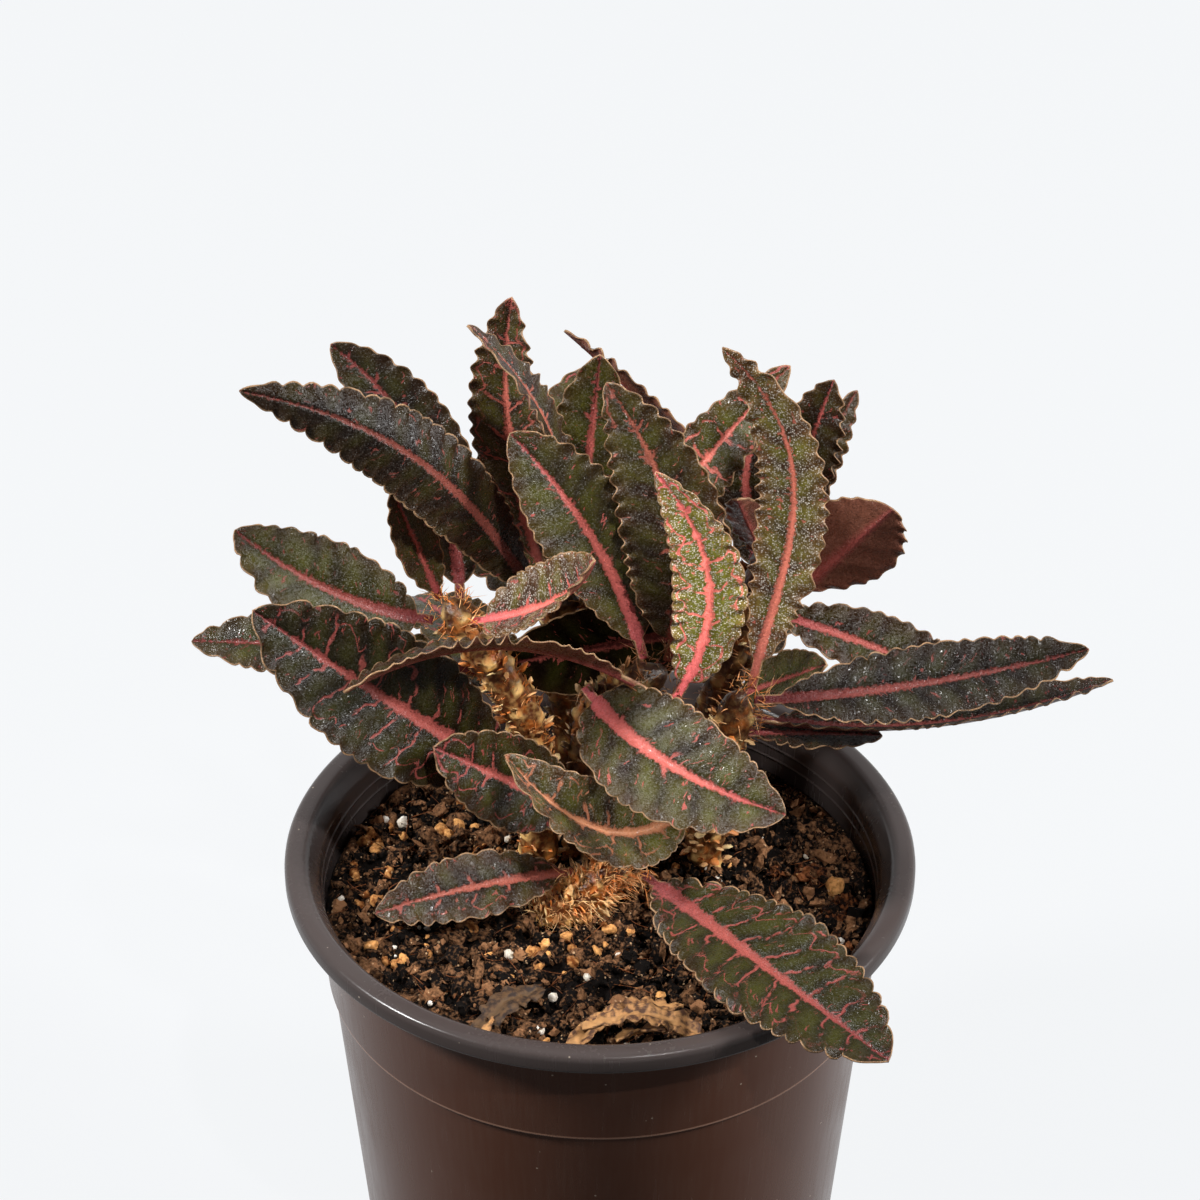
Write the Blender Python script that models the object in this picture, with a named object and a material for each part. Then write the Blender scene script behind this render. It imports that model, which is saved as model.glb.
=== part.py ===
"""Potted euphorbia: a small clumping plant with waved, pink-ribbed leaves in a 110 mm nursery pot.

Run with: blender --background --python part.py
The frame has its origin at the middle of the pot's flat base, with +Z up and -Y towards the front.
Dimensions are in millimetres and are turned to metres when a mesh is made.
"""

from collections import namedtuple
from math import cos, log, pi, radians, sin

import bmesh
import bpy
from mathutils import Vector

MM = 0.001

# Pot, a turned shell with a wide lip and a moulded step round its wall
POT_HEIGHT = 92.0
POT_SIDES = 48
WALL = 1.1
FLOOR = 1.6
LIP_RADIUS = 55.0
LIP_FACE = 3.6
LIP_TOP_WIDTH = 3.3
LIP_ROUND = 0.7
STEP_DROP = 24.4
STEP_RADIUS = 47.7
STEP_DEPTH = 0.7
WALL_SLOPE = 0.081
BASE_BEVEL = 1.5
DRAIN_COUNT = 8
DRAIN_RADIUS = 3.5
DRAIN_SIDES = 12
DRAIN_CIRCLE = 32.0

# Soil, which fills the pot to a lumpy surface that is dished, and banked up on the left
GAP = 0.35
SOIL_LEVEL = 79.6
SOIL_RINGS = 9
SOIL_BUMP = 1.1
SOIL_DISH = 1.1
SOIL_BANK = 2.6
SOIL_EDGE_RISE = 1.0

# Stems
STEM_SIDES = 9
STEM_PITCH = 4.6
STEM_DOME = 0.35
SCAR_DEPTH = 0.06
STEM_ROOT_Z = 62.0
HOLE_CLEARANCE = 0.3

# Leaves
BLADE_THICKNESS = 0.85
PETIOLE_HALF_WIDTH = 0.9
EDGE_POINTS = 21
MIDDLE_POINTS = 11
RIB_POINTS = 7
WAVE_HEIGHT = 0.75
WAVE_REACH = 0.35
WAVE_SPREAD = 1.6
BLADE_FULLNESS = 0.7
LEAF_CLEARANCE = 0.3

Stem = namedtuple("Stem", "points radius")

# Each stem's axis, from the soil to its growing tip
STEMS = {
    "left": Stem([(-11, 12, 76), (-11, 12, 96), (-13.5, 12, 112), (-20, 12, 125), (-26, 13, 135)], 3.6),
    "centre": Stem([(0, 13, 76), (-2, 12, 98), (0, 11, 114), (11, 8, 124)], 3.8),
    "right": Stem([(18, 12, 76), (20, 9, 98), (24, 4, 122)], 3.6),
    "front": Stem([(-9, -3, 78), (-3, -3, 83), (5, -1, 90)], 3.8),
    "rear": Stem([(-4, 28, 76), (-6, 28, 106), (-7, 27, 131)], 3.4),
    "rear_right": Stem([(15, 26, 76), (22, 29, 106), (31, 31, 136)], 3.4),
}


def path_point(points, share):
    """A point on the smooth curve through the points, a share of the way along."""
    spans = len(points) - 1
    place = min(max(share, 0.0) * spans, spans - 1e-6)
    index = int(place)
    part = place - index
    inner = [Vector(point) for point in points]
    padded = [inner[0] * 2 - inner[1]] + inner + [inner[-1] * 2 - inner[-2]]
    before, start, end, after = padded[index:index + 4]
    return 0.5 * (2 * start + (end - before) * part
                  + (2 * before - 5 * start + 4 * end - after) * part ** 2
                  + (3 * start - before - 3 * end + after) * part ** 3)


def path_direction(points, share):
    step = 0.01
    low = path_point(points, share - step)
    high = path_point(points, min(share + step, 1.0))
    return (high - low).normalized()


class Blade:
    """One leaf's blade, from the foot of its petiole to its tip.

    foot, tip: the two ends; width: its widest measure; widest: where along it that is
    face: the direction that its upper side looks in
    bow, sweep: how far its rib bends towards its face, and towards its left, from a straight line
    lean: how much of that bend lies near the tip; fold: how far the halves rise from the rib, in degrees
    petiole: the bare share of its length
    """

    def __init__(self, foot, tip, width, face, bow=0.0, sweep=0.0, lean=0.0, fold=12.0, widest=0.5,
                 petiole=0.06):
        self.foot = Vector(foot)
        self.tip = Vector(tip)
        self.width = width
        self.face = Vector(face)
        self.bow = bow
        self.sweep = sweep
        self.lean = lean
        self.fold = radians(fold)
        self.widest = widest
        self.petiole = petiole

    def section(self, s):
        """The rib's point, and the blade's left and upward directions, a share s of the way to the tip."""
        chord = self.tip - self.foot
        along = chord.normalized()
        up = (self.face - along * self.face.dot(along)).normalized()
        left = up.cross(along)
        bend = up * self.bow + left * self.sweep
        height = 4 * s * (1 - s) * (1 + self.lean * (2 * s - 1))
        slope = 4 * (1 - 2 * s) + 4 * self.lean * (2 * s * (1 - s) - (1 - 2 * s) ** 2)
        tangent = (chord + bend * slope).normalized()
        normal = (up - tangent * up.dot(tangent)).normalized()
        return self.foot + chord * s + bend * height, normal.cross(tangent), normal

    def half_width(self, s):
        """Half the blade's width, from the thin petiole through the widest place to the pointed tip."""
        return PETIOLE_HALF_WIDTH * (1 - s) ** 0.5 + (self.width / 2 - PETIOLE_HALF_WIDTH) * self.swell(s)

    def swell(self, s):
        share = max(0.0, (s - self.petiole) / (1 - self.petiole))
        skewed = share ** (log(0.5) / log(self.widest))
        return max(0.0, sin(pi * skewed)) ** BLADE_FULLNESS

    def point(self, s, across, wave):
        """A point of the blade's middle surface; across runs from -1 at the right edge to 1 at the left."""
        rib, left, up = self.section(s)
        strength = wave * min(1.0, WAVE_SPREAD * self.swell(s))
        half = self.half_width(s) + WAVE_REACH * strength
        rise = half * abs(across) * sin(self.fold) + WAVE_HEIGHT * strength
        return rib + left * (half * across * cos(self.fold)) + up * rise


def on_stem(stem, along, side, tip, width, face, **bends):
    """A blade whose petiole ends just clear of a stem's surface.

    stem, along: the stem that carries it, and how far up that stem, from 0 to 1
    side: the compass direction of its foot on the stem, in degrees from +X towards +Y
    """
    points, radius = STEMS[stem]
    axis_point = path_point(points, along)
    axis = path_direction(points, along)
    out = Vector((cos(radians(side)), sin(radians(side)), 0.0))
    out = (out - axis * out.dot(axis)).normalized()
    chord = (Vector(tip) - axis_point).normalized()
    normal = (Vector(face) - chord * Vector(face).dot(chord)).normalized()
    half_section = (abs(normal.dot(out)) * BLADE_THICKNESS / 2
                    + abs(normal.cross(chord).dot(out)) * PETIOLE_HALF_WIDTH)
    foot = axis_point + out * (radius + LEAF_CLEARANCE + half_section)
    return Blade(foot, tip, width, face, **bends)


LEAVES = {
    "left_upper": on_stem("left", 0.98, 188, (-61, 9, 152), 17, (0.1, -0.7, 0.7), bow=2.5, sweep=3),
    "left_big": on_stem("left", 0.33, -150, (-57, -6, 146), 24, (0.1, -0.8, 0.6), bow=3, sweep=1),
    "left_far": on_stem("left", 0.70, 170, (-71, 18, 123), 14, (0, -0.5, 0.85), bow=3),
    "left_inner": on_stem("left", 0.90, -40, (-1, -9, 158), 15, (-0.3, -0.4, 0.9), bow=-4, fold=30,
                          widest=0.42),
    "left_back": on_stem("left", 0.93, 90, (-46, 38, 171), 16, (-0.1, -0.8, 0.6), sweep=-6),
    "left_small": on_stem("left", 1.00, 125, (-35, 17, 155), 9, (0.3, -0.7, 0.6)),
    "left_long": on_stem("rear", 0.92, 190, (-58, 4, 182), 15, (-0.3, -0.6, 0.75), bow=9, sweep=-6,
                         lean=0.4, fold=-15),
    "rear_tall": on_stem("rear", 0.95, 130, (-15, 38, 180), 14, (-0.3, -0.9, 0.3), bow=-2, sweep=4),
    "rear_curled": on_stem("rear", 1.00, -100, (-22, 27, 181), 12, (0.9, -0.1, 0.4), bow=8),
    "rear_mid": on_stem("rear", 1.00, 50, (0, 36, 170), 16, (0, -1, 0.2)),
    "rear_orange": on_stem("rear", 0.85, -15, (32, 29, 172), 14, (-0.4, -0.8, 0.5), bow=3),
    "centre_broad": on_stem("centre", 0.93, 140, (-15, 17, 166), 18, (0.1, -0.8, 0.6), bow=2,
                            sweep=-2.5, widest=0.55),
    "centre_dark": on_stem("centre", 1.00, 80, (1, 20, 174), 19, (-0.1, -0.9, 0.4), bow=3, sweep=-6,
                           widest=0.43),
    "centre_green": on_stem("centre", 1.00, -30, (9, 0, 169), 13, (0, -1, 0.3), sweep=-7, widest=0.42),
    "centre_arching": on_stem("centre", 0.93, -140, (-42, -15, 136), 13, (-0.2, 0.5, 0.85), bow=7),
    "centre_front": on_stem("centre", 0.73, 190, (31, -18, 113), 21, (0.1, -0.8, 0.6), bow=4,
                            sweep=-3.5, widest=0.45),
    "inner_back": on_stem("rear_right", 0.72, -140, (-19, 19, 117), 16, (0, -1, 0.25)),
    "right_tall": on_stem("right", 1.00, 60, (20, 16, 183), 13, (-0.3, -0.9, 0.3), bow=-2, sweep=-9,
                          lean=0.5),
    "right_long": on_stem("right", 0.98, 0, (82, 0, 134), 14, (0, -0.6, 0.8), sweep=-1.5),
    "right_under": on_stem("right", 0.88, 5, (88, 8, 122), 13, (0, 0.1, 1), bow=-5, fold=30),
    "right_low": on_stem("right", 0.80, 5, (49, 8, 110), 9, (0, -0.2, 1)),
    "right_back": on_stem("rear_right", 0.78, -20, (68, 22, 109), 13, (0, -0.6, 0.8), bow=2),
    "right_green": on_stem("rear_right", 0.50, -60, (39, 11, 123), 11, (0, -0.5, 0.8)),
    "far_left": on_stem("rear_right", 0.93, 120, (-6, 41, 172), 12, (0.3, 0.5, 0.8), bow=2),
    "far_dark": on_stem("rear_right", 1.00, 200, (30, 35, 163), 13, (0, -0.9, 0.4), sweep=3),
    "far_top": on_stem("rear_right", 1.00, 80, (40, 36, 165), 13, (-0.3, -0.8, 0.5)),
    "far_end": on_stem("rear_right", 0.86, 50, (45, 46, 157), 9, (-0.3, -0.8, 0.5), sweep=1),
    "far_out": on_stem("rear_right", 0.80, -15, (50, 22, 148), 20, (0.3, 0.9, 0.3), petiole=0.22),
    "far_curl": on_stem("rear_right", 0.95, -110, (23, 14, 155), 10, (0, 0.8, 0.5), fold=30),
    "front_right": on_stem("front", 1.00, 0, (46, -60, 96), 23, (0.1, -0.45, 0.9), bow=3,
                           sweep=-1.5, widest=0.57),
    "front_left": on_stem("front", 0.55, 170, (-39, -10, 85), 12.5, (0, -0.6, 0.8), bow=4),
    "front_curled": on_stem("right", 0.44, 210, (-16, -8, 118), 17, (0.2, -0.6, 0.8), bow=1, sweep=9,
                            fold=32),
    "front_behind": on_stem("centre", 0.26, -110, (-28, -6, 118), 17, (0.1, -0.8, 0.6)),
    "back_centre": on_stem("rear", 0.88, 90, (-2, 66, 150), 18, (0, 0.2, 0.95), bow=5),
    "back_left": on_stem("rear", 0.70, 130, (-30, 55, 130), 18, (-0.2, 0.2, 0.95), bow=5),
    "back_right": on_stem("rear_right", 0.82, 90, (30, 70, 140), 18, (0, 0.2, 0.95), bow=5),
    "back_low": on_stem("rear", 0.55, 80, (5, 60, 112), 17, (0, 0.2, 0.95), bow=5),
    "back_low_right": on_stem("rear_right", 0.45, 60, (34, 56, 106), 16, (0.1, 0.2, 0.95), bow=4),
    "back_low_left": on_stem("left", 0.45, 120, (-34, 48, 112), 16, (-0.1, 0.2, 0.95), bow=4),
}

# Withered leaf remains lying on the soil
REMAINS = {
    "fork": Blade((-6, -44, 82.2), (14, -31, 82.4), 4.5, (0, 0, 1), bow=1.5, sweep=3, fold=15),
    "crimped": Blade((-2, -41, 86.2), (19, -44, 83.6), 5, (0, 0, 1), bow=2.5, sweep=3, fold=15),
    "dark": Blade((-21, -38, 80.8), (-9, -26, 81.0), 6, (0, 0, 1), bow=2, sweep=1, fold=15),
}


def remove_everything():
    for obj in list(bpy.data.objects):
        bpy.data.objects.remove(obj)


def principled(name, colour, roughness):
    """A material with one base colour, given as linear red, green and blue."""
    material = bpy.data.materials.new(name)
    material.use_nodes = True
    shader = material.node_tree.nodes["Principled BSDF"]
    shader.inputs["Base Color"].default_value = (*colour, 1.0)
    shader.inputs["Roughness"].default_value = roughness
    shader.inputs["Metallic"].default_value = 0.0
    return material


def add_object(name, bm, material, parent, origin=Vector((0, 0, 0))):
    """Turns a mesh in millimetres, drawn about its origin, into an object in metres at its place."""
    bmesh.ops.recalc_face_normals(bm, faces=bm.faces)
    if bm.calc_volume(signed=True) < 0:
        bmesh.ops.reverse_faces(bm, faces=bm.faces)
    for vertex in bm.verts:
        vertex.co *= MM
    mesh = bpy.data.meshes.new(name)
    bm.to_mesh(mesh)
    bm.free()
    mesh.shade_smooth()
    mesh.set_sharp_from_angle(angle=radians(35))
    if material is not None:
        mesh.materials.append(material)
    obj = bpy.data.objects.new(name, mesh)
    obj.location = origin * MM
    obj.parent = parent
    bpy.context.collection.objects.link(obj)
    return obj


def make_cutters(name, meshes, parent):
    """A collection of hidden solids for a Boolean cut."""
    collection = bpy.data.collections.new(name)
    bpy.context.scene.collection.children.link(collection)
    for index, bm in enumerate(meshes):
        cutter = add_object(f"{name}_{index}", bm, None, parent)
        bpy.context.collection.objects.unlink(cutter)
        collection.objects.link(cutter)
        cutter.hide_render = True
        cutter.display_type = "WIRE"
    return collection


def cut(obj, collection):
    modifier = obj.modifiers.new("cut", "BOOLEAN")
    modifier.operation = "DIFFERENCE"
    modifier.solver = "EXACT"
    modifier.operand_type = "COLLECTION"
    modifier.collection = collection


def outer_wall(z):
    """The wall's outer radius at a height, apart from the lip."""
    step_z = POT_HEIGHT - STEP_DROP
    radius = STEP_RADIUS + WALL_SLOPE * (z - step_z)
    return radius + STEP_DEPTH if z > step_z + STEP_DEPTH / 2 else radius


def inner_wall(z):
    return outer_wall(z) - WALL


def pot_profile():
    """The turned outline, from the middle of the base round the outside to the middle of the floor."""
    step_z = POT_HEIGHT - STEP_DROP
    under_lip = POT_HEIGHT - LIP_FACE
    lip_inner = LIP_RADIUS - LIP_TOP_WIDTH
    return [
        (0.0, 0.0),
        (outer_wall(0) - BASE_BEVEL, 0.0),
        (outer_wall(BASE_BEVEL), BASE_BEVEL),
        (outer_wall(step_z), step_z),
        (outer_wall(step_z + STEP_DEPTH), step_z + STEP_DEPTH),
        (outer_wall(under_lip), under_lip),
        (LIP_RADIUS - LIP_ROUND, under_lip),
        (LIP_RADIUS, under_lip + LIP_ROUND),
        (LIP_RADIUS, POT_HEIGHT - LIP_ROUND),
        (LIP_RADIUS - LIP_ROUND, POT_HEIGHT),
        (lip_inner, POT_HEIGHT),
        (lip_inner - LIP_ROUND, POT_HEIGHT - LIP_ROUND),
        (inner_wall(under_lip), under_lip),
        (inner_wall(step_z + STEP_DEPTH), step_z + STEP_DEPTH),
        (inner_wall(step_z), step_z),
        (inner_wall(FLOOR), FLOOR),
        (0.0, FLOOR),
    ]


def ring_point(radius, z, index, sides):
    angle = 2 * pi * index / sides
    return Vector((radius * cos(angle), radius * sin(angle), z))


def turned(profile, sides):
    """A closed solid turned about Z; the profile starts and ends on the axis."""
    bm = bmesh.new()
    start = bm.verts.new((0, 0, profile[0][1]))
    end = bm.verts.new((0, 0, profile[-1][1]))
    rings = []
    for radius, z in profile[1:-1]:
        rings.append([bm.verts.new(ring_point(radius, z, index, sides)) for index in range(sides)])
    join_rings(bm, start, rings, end)
    return bm


def join_rings(bm, start, rings, end, split=False):
    """Skins a stack of rings and closes it with a point at each end; split makes every face a triangle."""
    sides = len(rings[0])
    for index in range(sides):
        after = (index + 1) % sides
        bm.faces.new((start, rings[0][index], rings[0][after]))
        bm.faces.new((end, rings[-1][after], rings[-1][index]))
        for low, high in zip(rings, rings[1:]):
            if split:
                bm.faces.new((low[index], high[index], low[after]))
                bm.faces.new((high[index], high[after], low[after]))
            else:
                bm.faces.new((low[index], high[index], high[after], low[after]))


def make_pot(parent):
    """The pot, with a ring of drain holes through its floor."""
    plastic = principled("pot_plastic", (0.024, 0.016, 0.012), 0.35)
    pot = add_object("pot", turned(pot_profile(), POT_SIDES), plastic, parent)
    holes = []
    for index in range(DRAIN_COUNT):
        bm = bmesh.new()
        bmesh.ops.create_cone(bm, cap_ends=True, segments=DRAIN_SIDES, radius1=DRAIN_RADIUS,
                              radius2=DRAIN_RADIUS, depth=3 * FLOOR)
        centre = ring_point(DRAIN_CIRCLE, FLOOR / 2, index + 0.5, DRAIN_COUNT)
        bmesh.ops.translate(bm, verts=bm.verts, vec=centre)
        holes.append(bm)
    cut(pot, make_cutters("drain_hole", holes, parent))


def soil_height(x, y):
    """The lumpy surface: crossed waves of a few centimetres and of crumb size, over a slight dish."""
    dish = SOIL_DISH * (x * x + y * y) / LIP_RADIUS ** 2
    swell = sin(x / 9.0 + 1.2) * cos(y / 8.0 - 0.6)
    crumbs = sin(x / 2.3 + 0.7 * y) * cos(y / 2.7 - 0.5 * x)
    bank = SOIL_BANK * max(0.0, -x / LIP_RADIUS - 0.25)
    return SOIL_LEVEL + dish + bank + SOIL_BUMP * (0.7 * swell + 0.5 * crumbs)


def make_soil(parent):
    """A lumpy-topped plug that fills the pot, with a plain hole for each stem."""
    bm = bmesh.new()
    step_z = POT_HEIGHT - STEP_DROP
    edge_z = SOIL_LEVEL + SOIL_EDGE_RISE
    top = bm.verts.new((0, 0, soil_height(0, 0)))
    rings = []
    for ring in range(1, SOIL_RINGS + 1):
        radius = (inner_wall(edge_z) - GAP) * ring / SOIL_RINGS
        points = [ring_point(radius, 0, index, POT_SIDES) for index in range(POT_SIDES)]
        if ring == SOIL_RINGS:
            heights = [edge_z] * POT_SIDES
        else:
            heights = [soil_height(point.x, point.y) for point in points]
        rings.append([bm.verts.new((point.x, point.y, z)) for point, z in zip(points, heights)])
    for z in (step_z + STEP_DEPTH, step_z, FLOOR + GAP):
        radius = inner_wall(z) - GAP
        rings.append([bm.verts.new(ring_point(radius, z, index, POT_SIDES)) for index in range(POT_SIDES)])
    bottom = bm.verts.new((0, 0, FLOOR + GAP))
    join_rings(bm, top, rings, bottom, split=True)
    soil = add_object("soil", bm, principled("soil_mix", (0.020, 0.013, 0.010), 0.95), parent)
    holes = [tube(stem_axis(stem), stem.radius + HOLE_CLEARANCE, 0.0, HOLE_CLEARANCE)
             for stem in STEMS.values()]
    cut(soil, make_cutters("stem_hole", holes, parent))


def stem_axis(stem):
    """The stem's points with its buried foot, straight below the first of them."""
    first = stem.points[0]
    return [(first[0], first[1], STEM_ROOT_Z)] + list(stem.points)


def tube(points, radius, scar, extra):
    """A round stem along a smooth curve; its rings turn like a spiral, and every other one is pinched in.

    scar: how much a ring is pinched, as a share of the radius; extra: how far the foot runs on
    """
    spans = [Vector(b) - Vector(a) for a, b in zip(points, points[1:])]
    count = round(sum(span.length for span in spans) / STEM_PITCH)
    foot = path_point(points, 0) - path_direction(points, 0) * extra
    bm = bmesh.new()
    rings = []
    for ring in range(count + 1):
        centre = path_point(points, ring / count) if ring else foot
        axis = path_direction(points, ring / count)
        across = axis.cross(Vector((0, 1, 0))).normalized()
        over = across.cross(axis)
        size = radius * (1 - scar * (ring % 2))
        angles = [2 * pi * (index + ring / 2) / STEM_SIDES for index in range(STEM_SIDES)]
        rings.append([bm.verts.new(centre + (across * cos(angle) + over * sin(angle)) * size)
                      for angle in angles])
    start = bm.verts.new(foot)
    end = bm.verts.new(path_point(points, 1) + path_direction(points, 1) * radius * STEM_DOME)
    join_rings(bm, start, rings, end, split=True)
    return bm


def make_stems(parent):
    bark = principled("stem_bark", (0.33, 0.19, 0.09), 0.85)
    for name, stem in STEMS.items():
        add_object(f"stem_{name}", tube(stem_axis(stem), stem.radius, SCAR_DEPTH, 0.0), bark, parent)


def blade_columns():
    """The lines of points that a blade is drawn through: how far across, and how many points each has."""
    return [(-1.0, EDGE_POINTS), (-0.5, MIDDLE_POINTS), (0.0, RIB_POINTS), (0.5, MIDDLE_POINTS),
            (1.0, EDGE_POINTS)]


def edge_wave(across, index, count):
    """Alternate points of an edge rise and dip; the ends and the inner columns stay flat."""
    if abs(across) < 1 or index in (0, count - 1):
        return 0.0
    return 1.0 if index % 2 else -1.0


def blade_faces(columns):
    """Triangles between neighbouring columns, always stepping on in the column that lags behind."""
    faces = []
    for right, left in zip(columns, columns[1:]):
        i = 0
        j = 0
        while i < len(right) - 1 or j < len(left) - 1:
            right_next = (i + 1) / (len(right) - 1)
            left_next = (j + 1) / (len(left) - 1)
            if j == len(left) - 1 or (i < len(right) - 1 and right_next <= left_next):
                faces.append((right[i], right[i + 1], left[j]))
                i += 1
            else:
                faces.append((right[i], left[j + 1], left[j]))
                j += 1
    return [face for face in faces if len(set(face)) == 3]


def solid_blade(leaf):
    """A leaf as one thin solid: the same triangles above and below, and a wall round the edge."""
    bm = bmesh.new()
    skins = []
    for offset in (BLADE_THICKNESS / 2, -BLADE_THICKNESS / 2):
        tip = bm.verts.new(leaf.point(1.0, 0.0, 0.0) + leaf.section(1.0)[2] * offset - leaf.foot)
        columns = []
        for across, count in blade_columns():
            column = []
            for index in range(count - 1):
                s = index / (count - 1)
                point = leaf.point(s, across, edge_wave(across, index, count))
                column.append(bm.verts.new(point + leaf.section(s)[2] * offset - leaf.foot))
            columns.append(column + [tip])
        skins.append(columns)
    upper, lower = skins
    for face in blade_faces(upper):
        bm.faces.new(face)
    for face in blade_faces(lower):
        bm.faces.new(reversed(face))
    for side in (0, -1):
        close_wall(bm, upper[side], lower[side])
    close_wall(bm, [column[0] for column in upper], [column[0] for column in lower])
    return bm


def close_wall(bm, high, low):
    for index in range(len(high) - 1):
        bm.faces.new((high[index], low[index], low[index + 1]))
        bm.faces.new((high[index], low[index + 1], high[index + 1]))


def make_leaves(parent):
    lamina = principled("leaf_lamina", (0.035, 0.030, 0.018), 0.4)
    for name, leaf in LEAVES.items():
        add_object(f"leaf_{name}", solid_blade(leaf), lamina, parent, leaf.foot)


def make_remains(parent):
    dry = principled("dry_leaf", (0.27, 0.14, 0.06), 0.9)
    for name, leaf in REMAINS.items():
        add_object(f"dry_leaf_{name}", solid_blade(leaf), dry, parent, leaf.foot)


def main():
    remove_everything()
    plant = bpy.data.objects.new("potted_euphorbia", None)
    bpy.context.scene.collection.objects.link(plant)
    make_pot(plant)
    make_soil(plant)
    make_stems(plant)
    make_leaves(plant)
    make_remains(plant)


main()
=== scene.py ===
"""Potted euphorbia: the looks of the plant, its soil and its pot, laid out as a Blender add-on.

Shapes are worked out in millimetres in the part's own frame, with the origin at the middle of the
pot's base, +Z up and -Y towards the front, and are turned to metres when a mesh is made.
"""

from collections import namedtuple
from functools import partial

import bpy
import numpy as np
from bpy.props import FloatProperty, FloatVectorProperty, IntProperty, PointerProperty
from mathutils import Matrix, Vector


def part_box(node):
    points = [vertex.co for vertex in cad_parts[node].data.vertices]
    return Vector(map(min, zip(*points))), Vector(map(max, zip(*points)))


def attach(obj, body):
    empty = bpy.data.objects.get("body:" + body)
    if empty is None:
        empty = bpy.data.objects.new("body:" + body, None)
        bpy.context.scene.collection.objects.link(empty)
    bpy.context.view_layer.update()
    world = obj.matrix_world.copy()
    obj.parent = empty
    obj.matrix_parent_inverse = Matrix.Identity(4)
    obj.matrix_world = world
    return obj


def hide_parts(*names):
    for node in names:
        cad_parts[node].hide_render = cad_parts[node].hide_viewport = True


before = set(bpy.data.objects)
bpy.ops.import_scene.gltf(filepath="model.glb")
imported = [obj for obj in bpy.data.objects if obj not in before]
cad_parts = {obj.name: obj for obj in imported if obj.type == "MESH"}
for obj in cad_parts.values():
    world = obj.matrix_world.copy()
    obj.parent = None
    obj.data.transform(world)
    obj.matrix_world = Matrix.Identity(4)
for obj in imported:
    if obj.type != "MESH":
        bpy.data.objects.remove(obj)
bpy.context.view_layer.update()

bl_info = {
    "name": "Potted euphorbia",
    "version": (1, 0, 0),
    "blender": (4, 5, 0),
    "location": "3D View > Sidebar > Euphorbia",
    "description": "Makes the leaves, stems, soil and pot of a small potted euphorbia",
    "category": "Object",
}

MM = 0.001
GOLDEN_ANGLE = np.radians(137.5)

# The pot's measures that its box doesn't give, in mm
WALL = 1.1
FLOOR = 1.6
LIP_FACE = 3.6
LIP_TOP_WIDTH = 3.3
STEP_DROP = 24.4
STEP_RADIUS = 47.7
STEP_DEPTH = 0.7
WALL_SLOPE = 0.081
BASE_BEVEL = 1.5
BEAD_DROPS = (2.5, 4.9)
BEAD_HEIGHT = 0.22
BEAD_HALF = 0.3
AXIS_RADIUS = 0.01
POT_SIDES = 192
DRAIN_COUNT = 8
DRAIN_RADIUS = 3.5
DRAIN_CIRCLE = 32.0
DRAIN_SIDES = 32
POT_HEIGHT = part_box("pot")[1][2] / MM
LIP_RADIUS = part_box("pot")[1][0] / MM

# The soil's measures, in mm, the crumbs' sizes with the share of each, and how long the chips are
GAP = 0.35
SOIL_LEVEL = 79.6
SOIL_BUMP = 1.1
SOIL_DISH = 1.1
SOIL_BANK = 2.6
SOIL_EDGE_RISE = 1.0
SOIL_SIDES = 420
SOIL_RINGS = 99
CRUMB_SIZES = (0.7, 1.0, 1.6, 2.2)
CRUMB_SHARES = (0.4, 0.35, 0.2, 0.05)
CHIP_BUILD = (0.5, 0.8, 2.2)
FIBRE_RADIUS = 0.09

# The blades' measures, in mm; the part's own blades are thicker
PART_THICKNESS = 0.85
EDGE_THICKNESS = 0.24
MIDDLE_THICKNESS = 0.6
PETIOLE_HALF_WIDTH = 0.9
TIP_HALF_WIDTH = 0.12
BLADE_FULLNESS = 0.62
RIB_HALF_WIDTH = 1.3
RIB_GROOVE = 0.28
RIB_KEEL = 0.75
BILLOW = 0.55
LEAF_CLEARANCE = 0.3
FOOT_OVERLAP = 0.03
FEWEST_ROWS = 48
BLADE_COLUMNS = 23

# The stems' measures, in mm, and how many bristles each leaf foot has
BURIED_STEM = 8.0
STEM_ROW = 0.55
STEM_SIDES = 44
BRISTLE_RADIUS = 0.1
FOOT_BRISTLES = 14

# In metres, what the lights are aimed at and the camera's place; the way from there to each light; and the
# camera's sensor, in mm
AIM = Vector((0.0, 0.0, 0.11))
SPOT_AIM = Vector((0.004, -0.008, 0.137))
CAMERA_PLACE = (0.0, -0.4699, 0.4651)
KEY_HEADING = (0.85, -0.08, 0.52)
FILL_HEADING = (-0.74, -0.16, 0.65)
SPOT_HEADING = (0.24, -0.52, 0.82)
SENSOR = 36.0

Stem = namedtuple("Stem", "points radius tone")

# Each stem's axis from the soil to its growing tip, its radius, and how light its bark is painted: lowered
# on the stems that stand in the leaves' shade, as painted shade
STEMS = {
    "left": Stem([(-11, 12, 76), (-11, 12, 96), (-13.5, 12, 112), (-20, 12, 125), (-26, 13, 135)],
                 3.6, 1.0),
    "centre": Stem([(0, 13, 76), (-2, 12, 98), (0, 11, 114), (11, 8, 124)], 3.8, 0.3),
    "right": Stem([(18, 12, 76), (20, 9, 98), (24, 4, 122)], 3.6, 0.7),
    "front": Stem([(-9, -3, 78), (-3, -3, 83), (5, -1, 90)], 3.8, 1.0),
    "rear": Stem([(-4, 28, 76), (-6, 28, 106), (-7, 27, 131)], 3.4, 0.5),
    "rear_right": Stem([(15, 26, 76), (22, 29, 106), (31, 31, 136)], 3.4, 0.5),
}


def linear(code, alpha=1.0):
    """An sRGB hex colour as linear red, green, blue and alpha."""
    parts = np.array([int(code[start:start + 2], 16) for start in (1, 3, 5)]) / 255
    light = np.where(parts <= 0.04045, parts / 12.92, ((parts + 0.055) / 1.055) ** 2.4)
    return (*light.tolist(), alpha)


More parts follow.
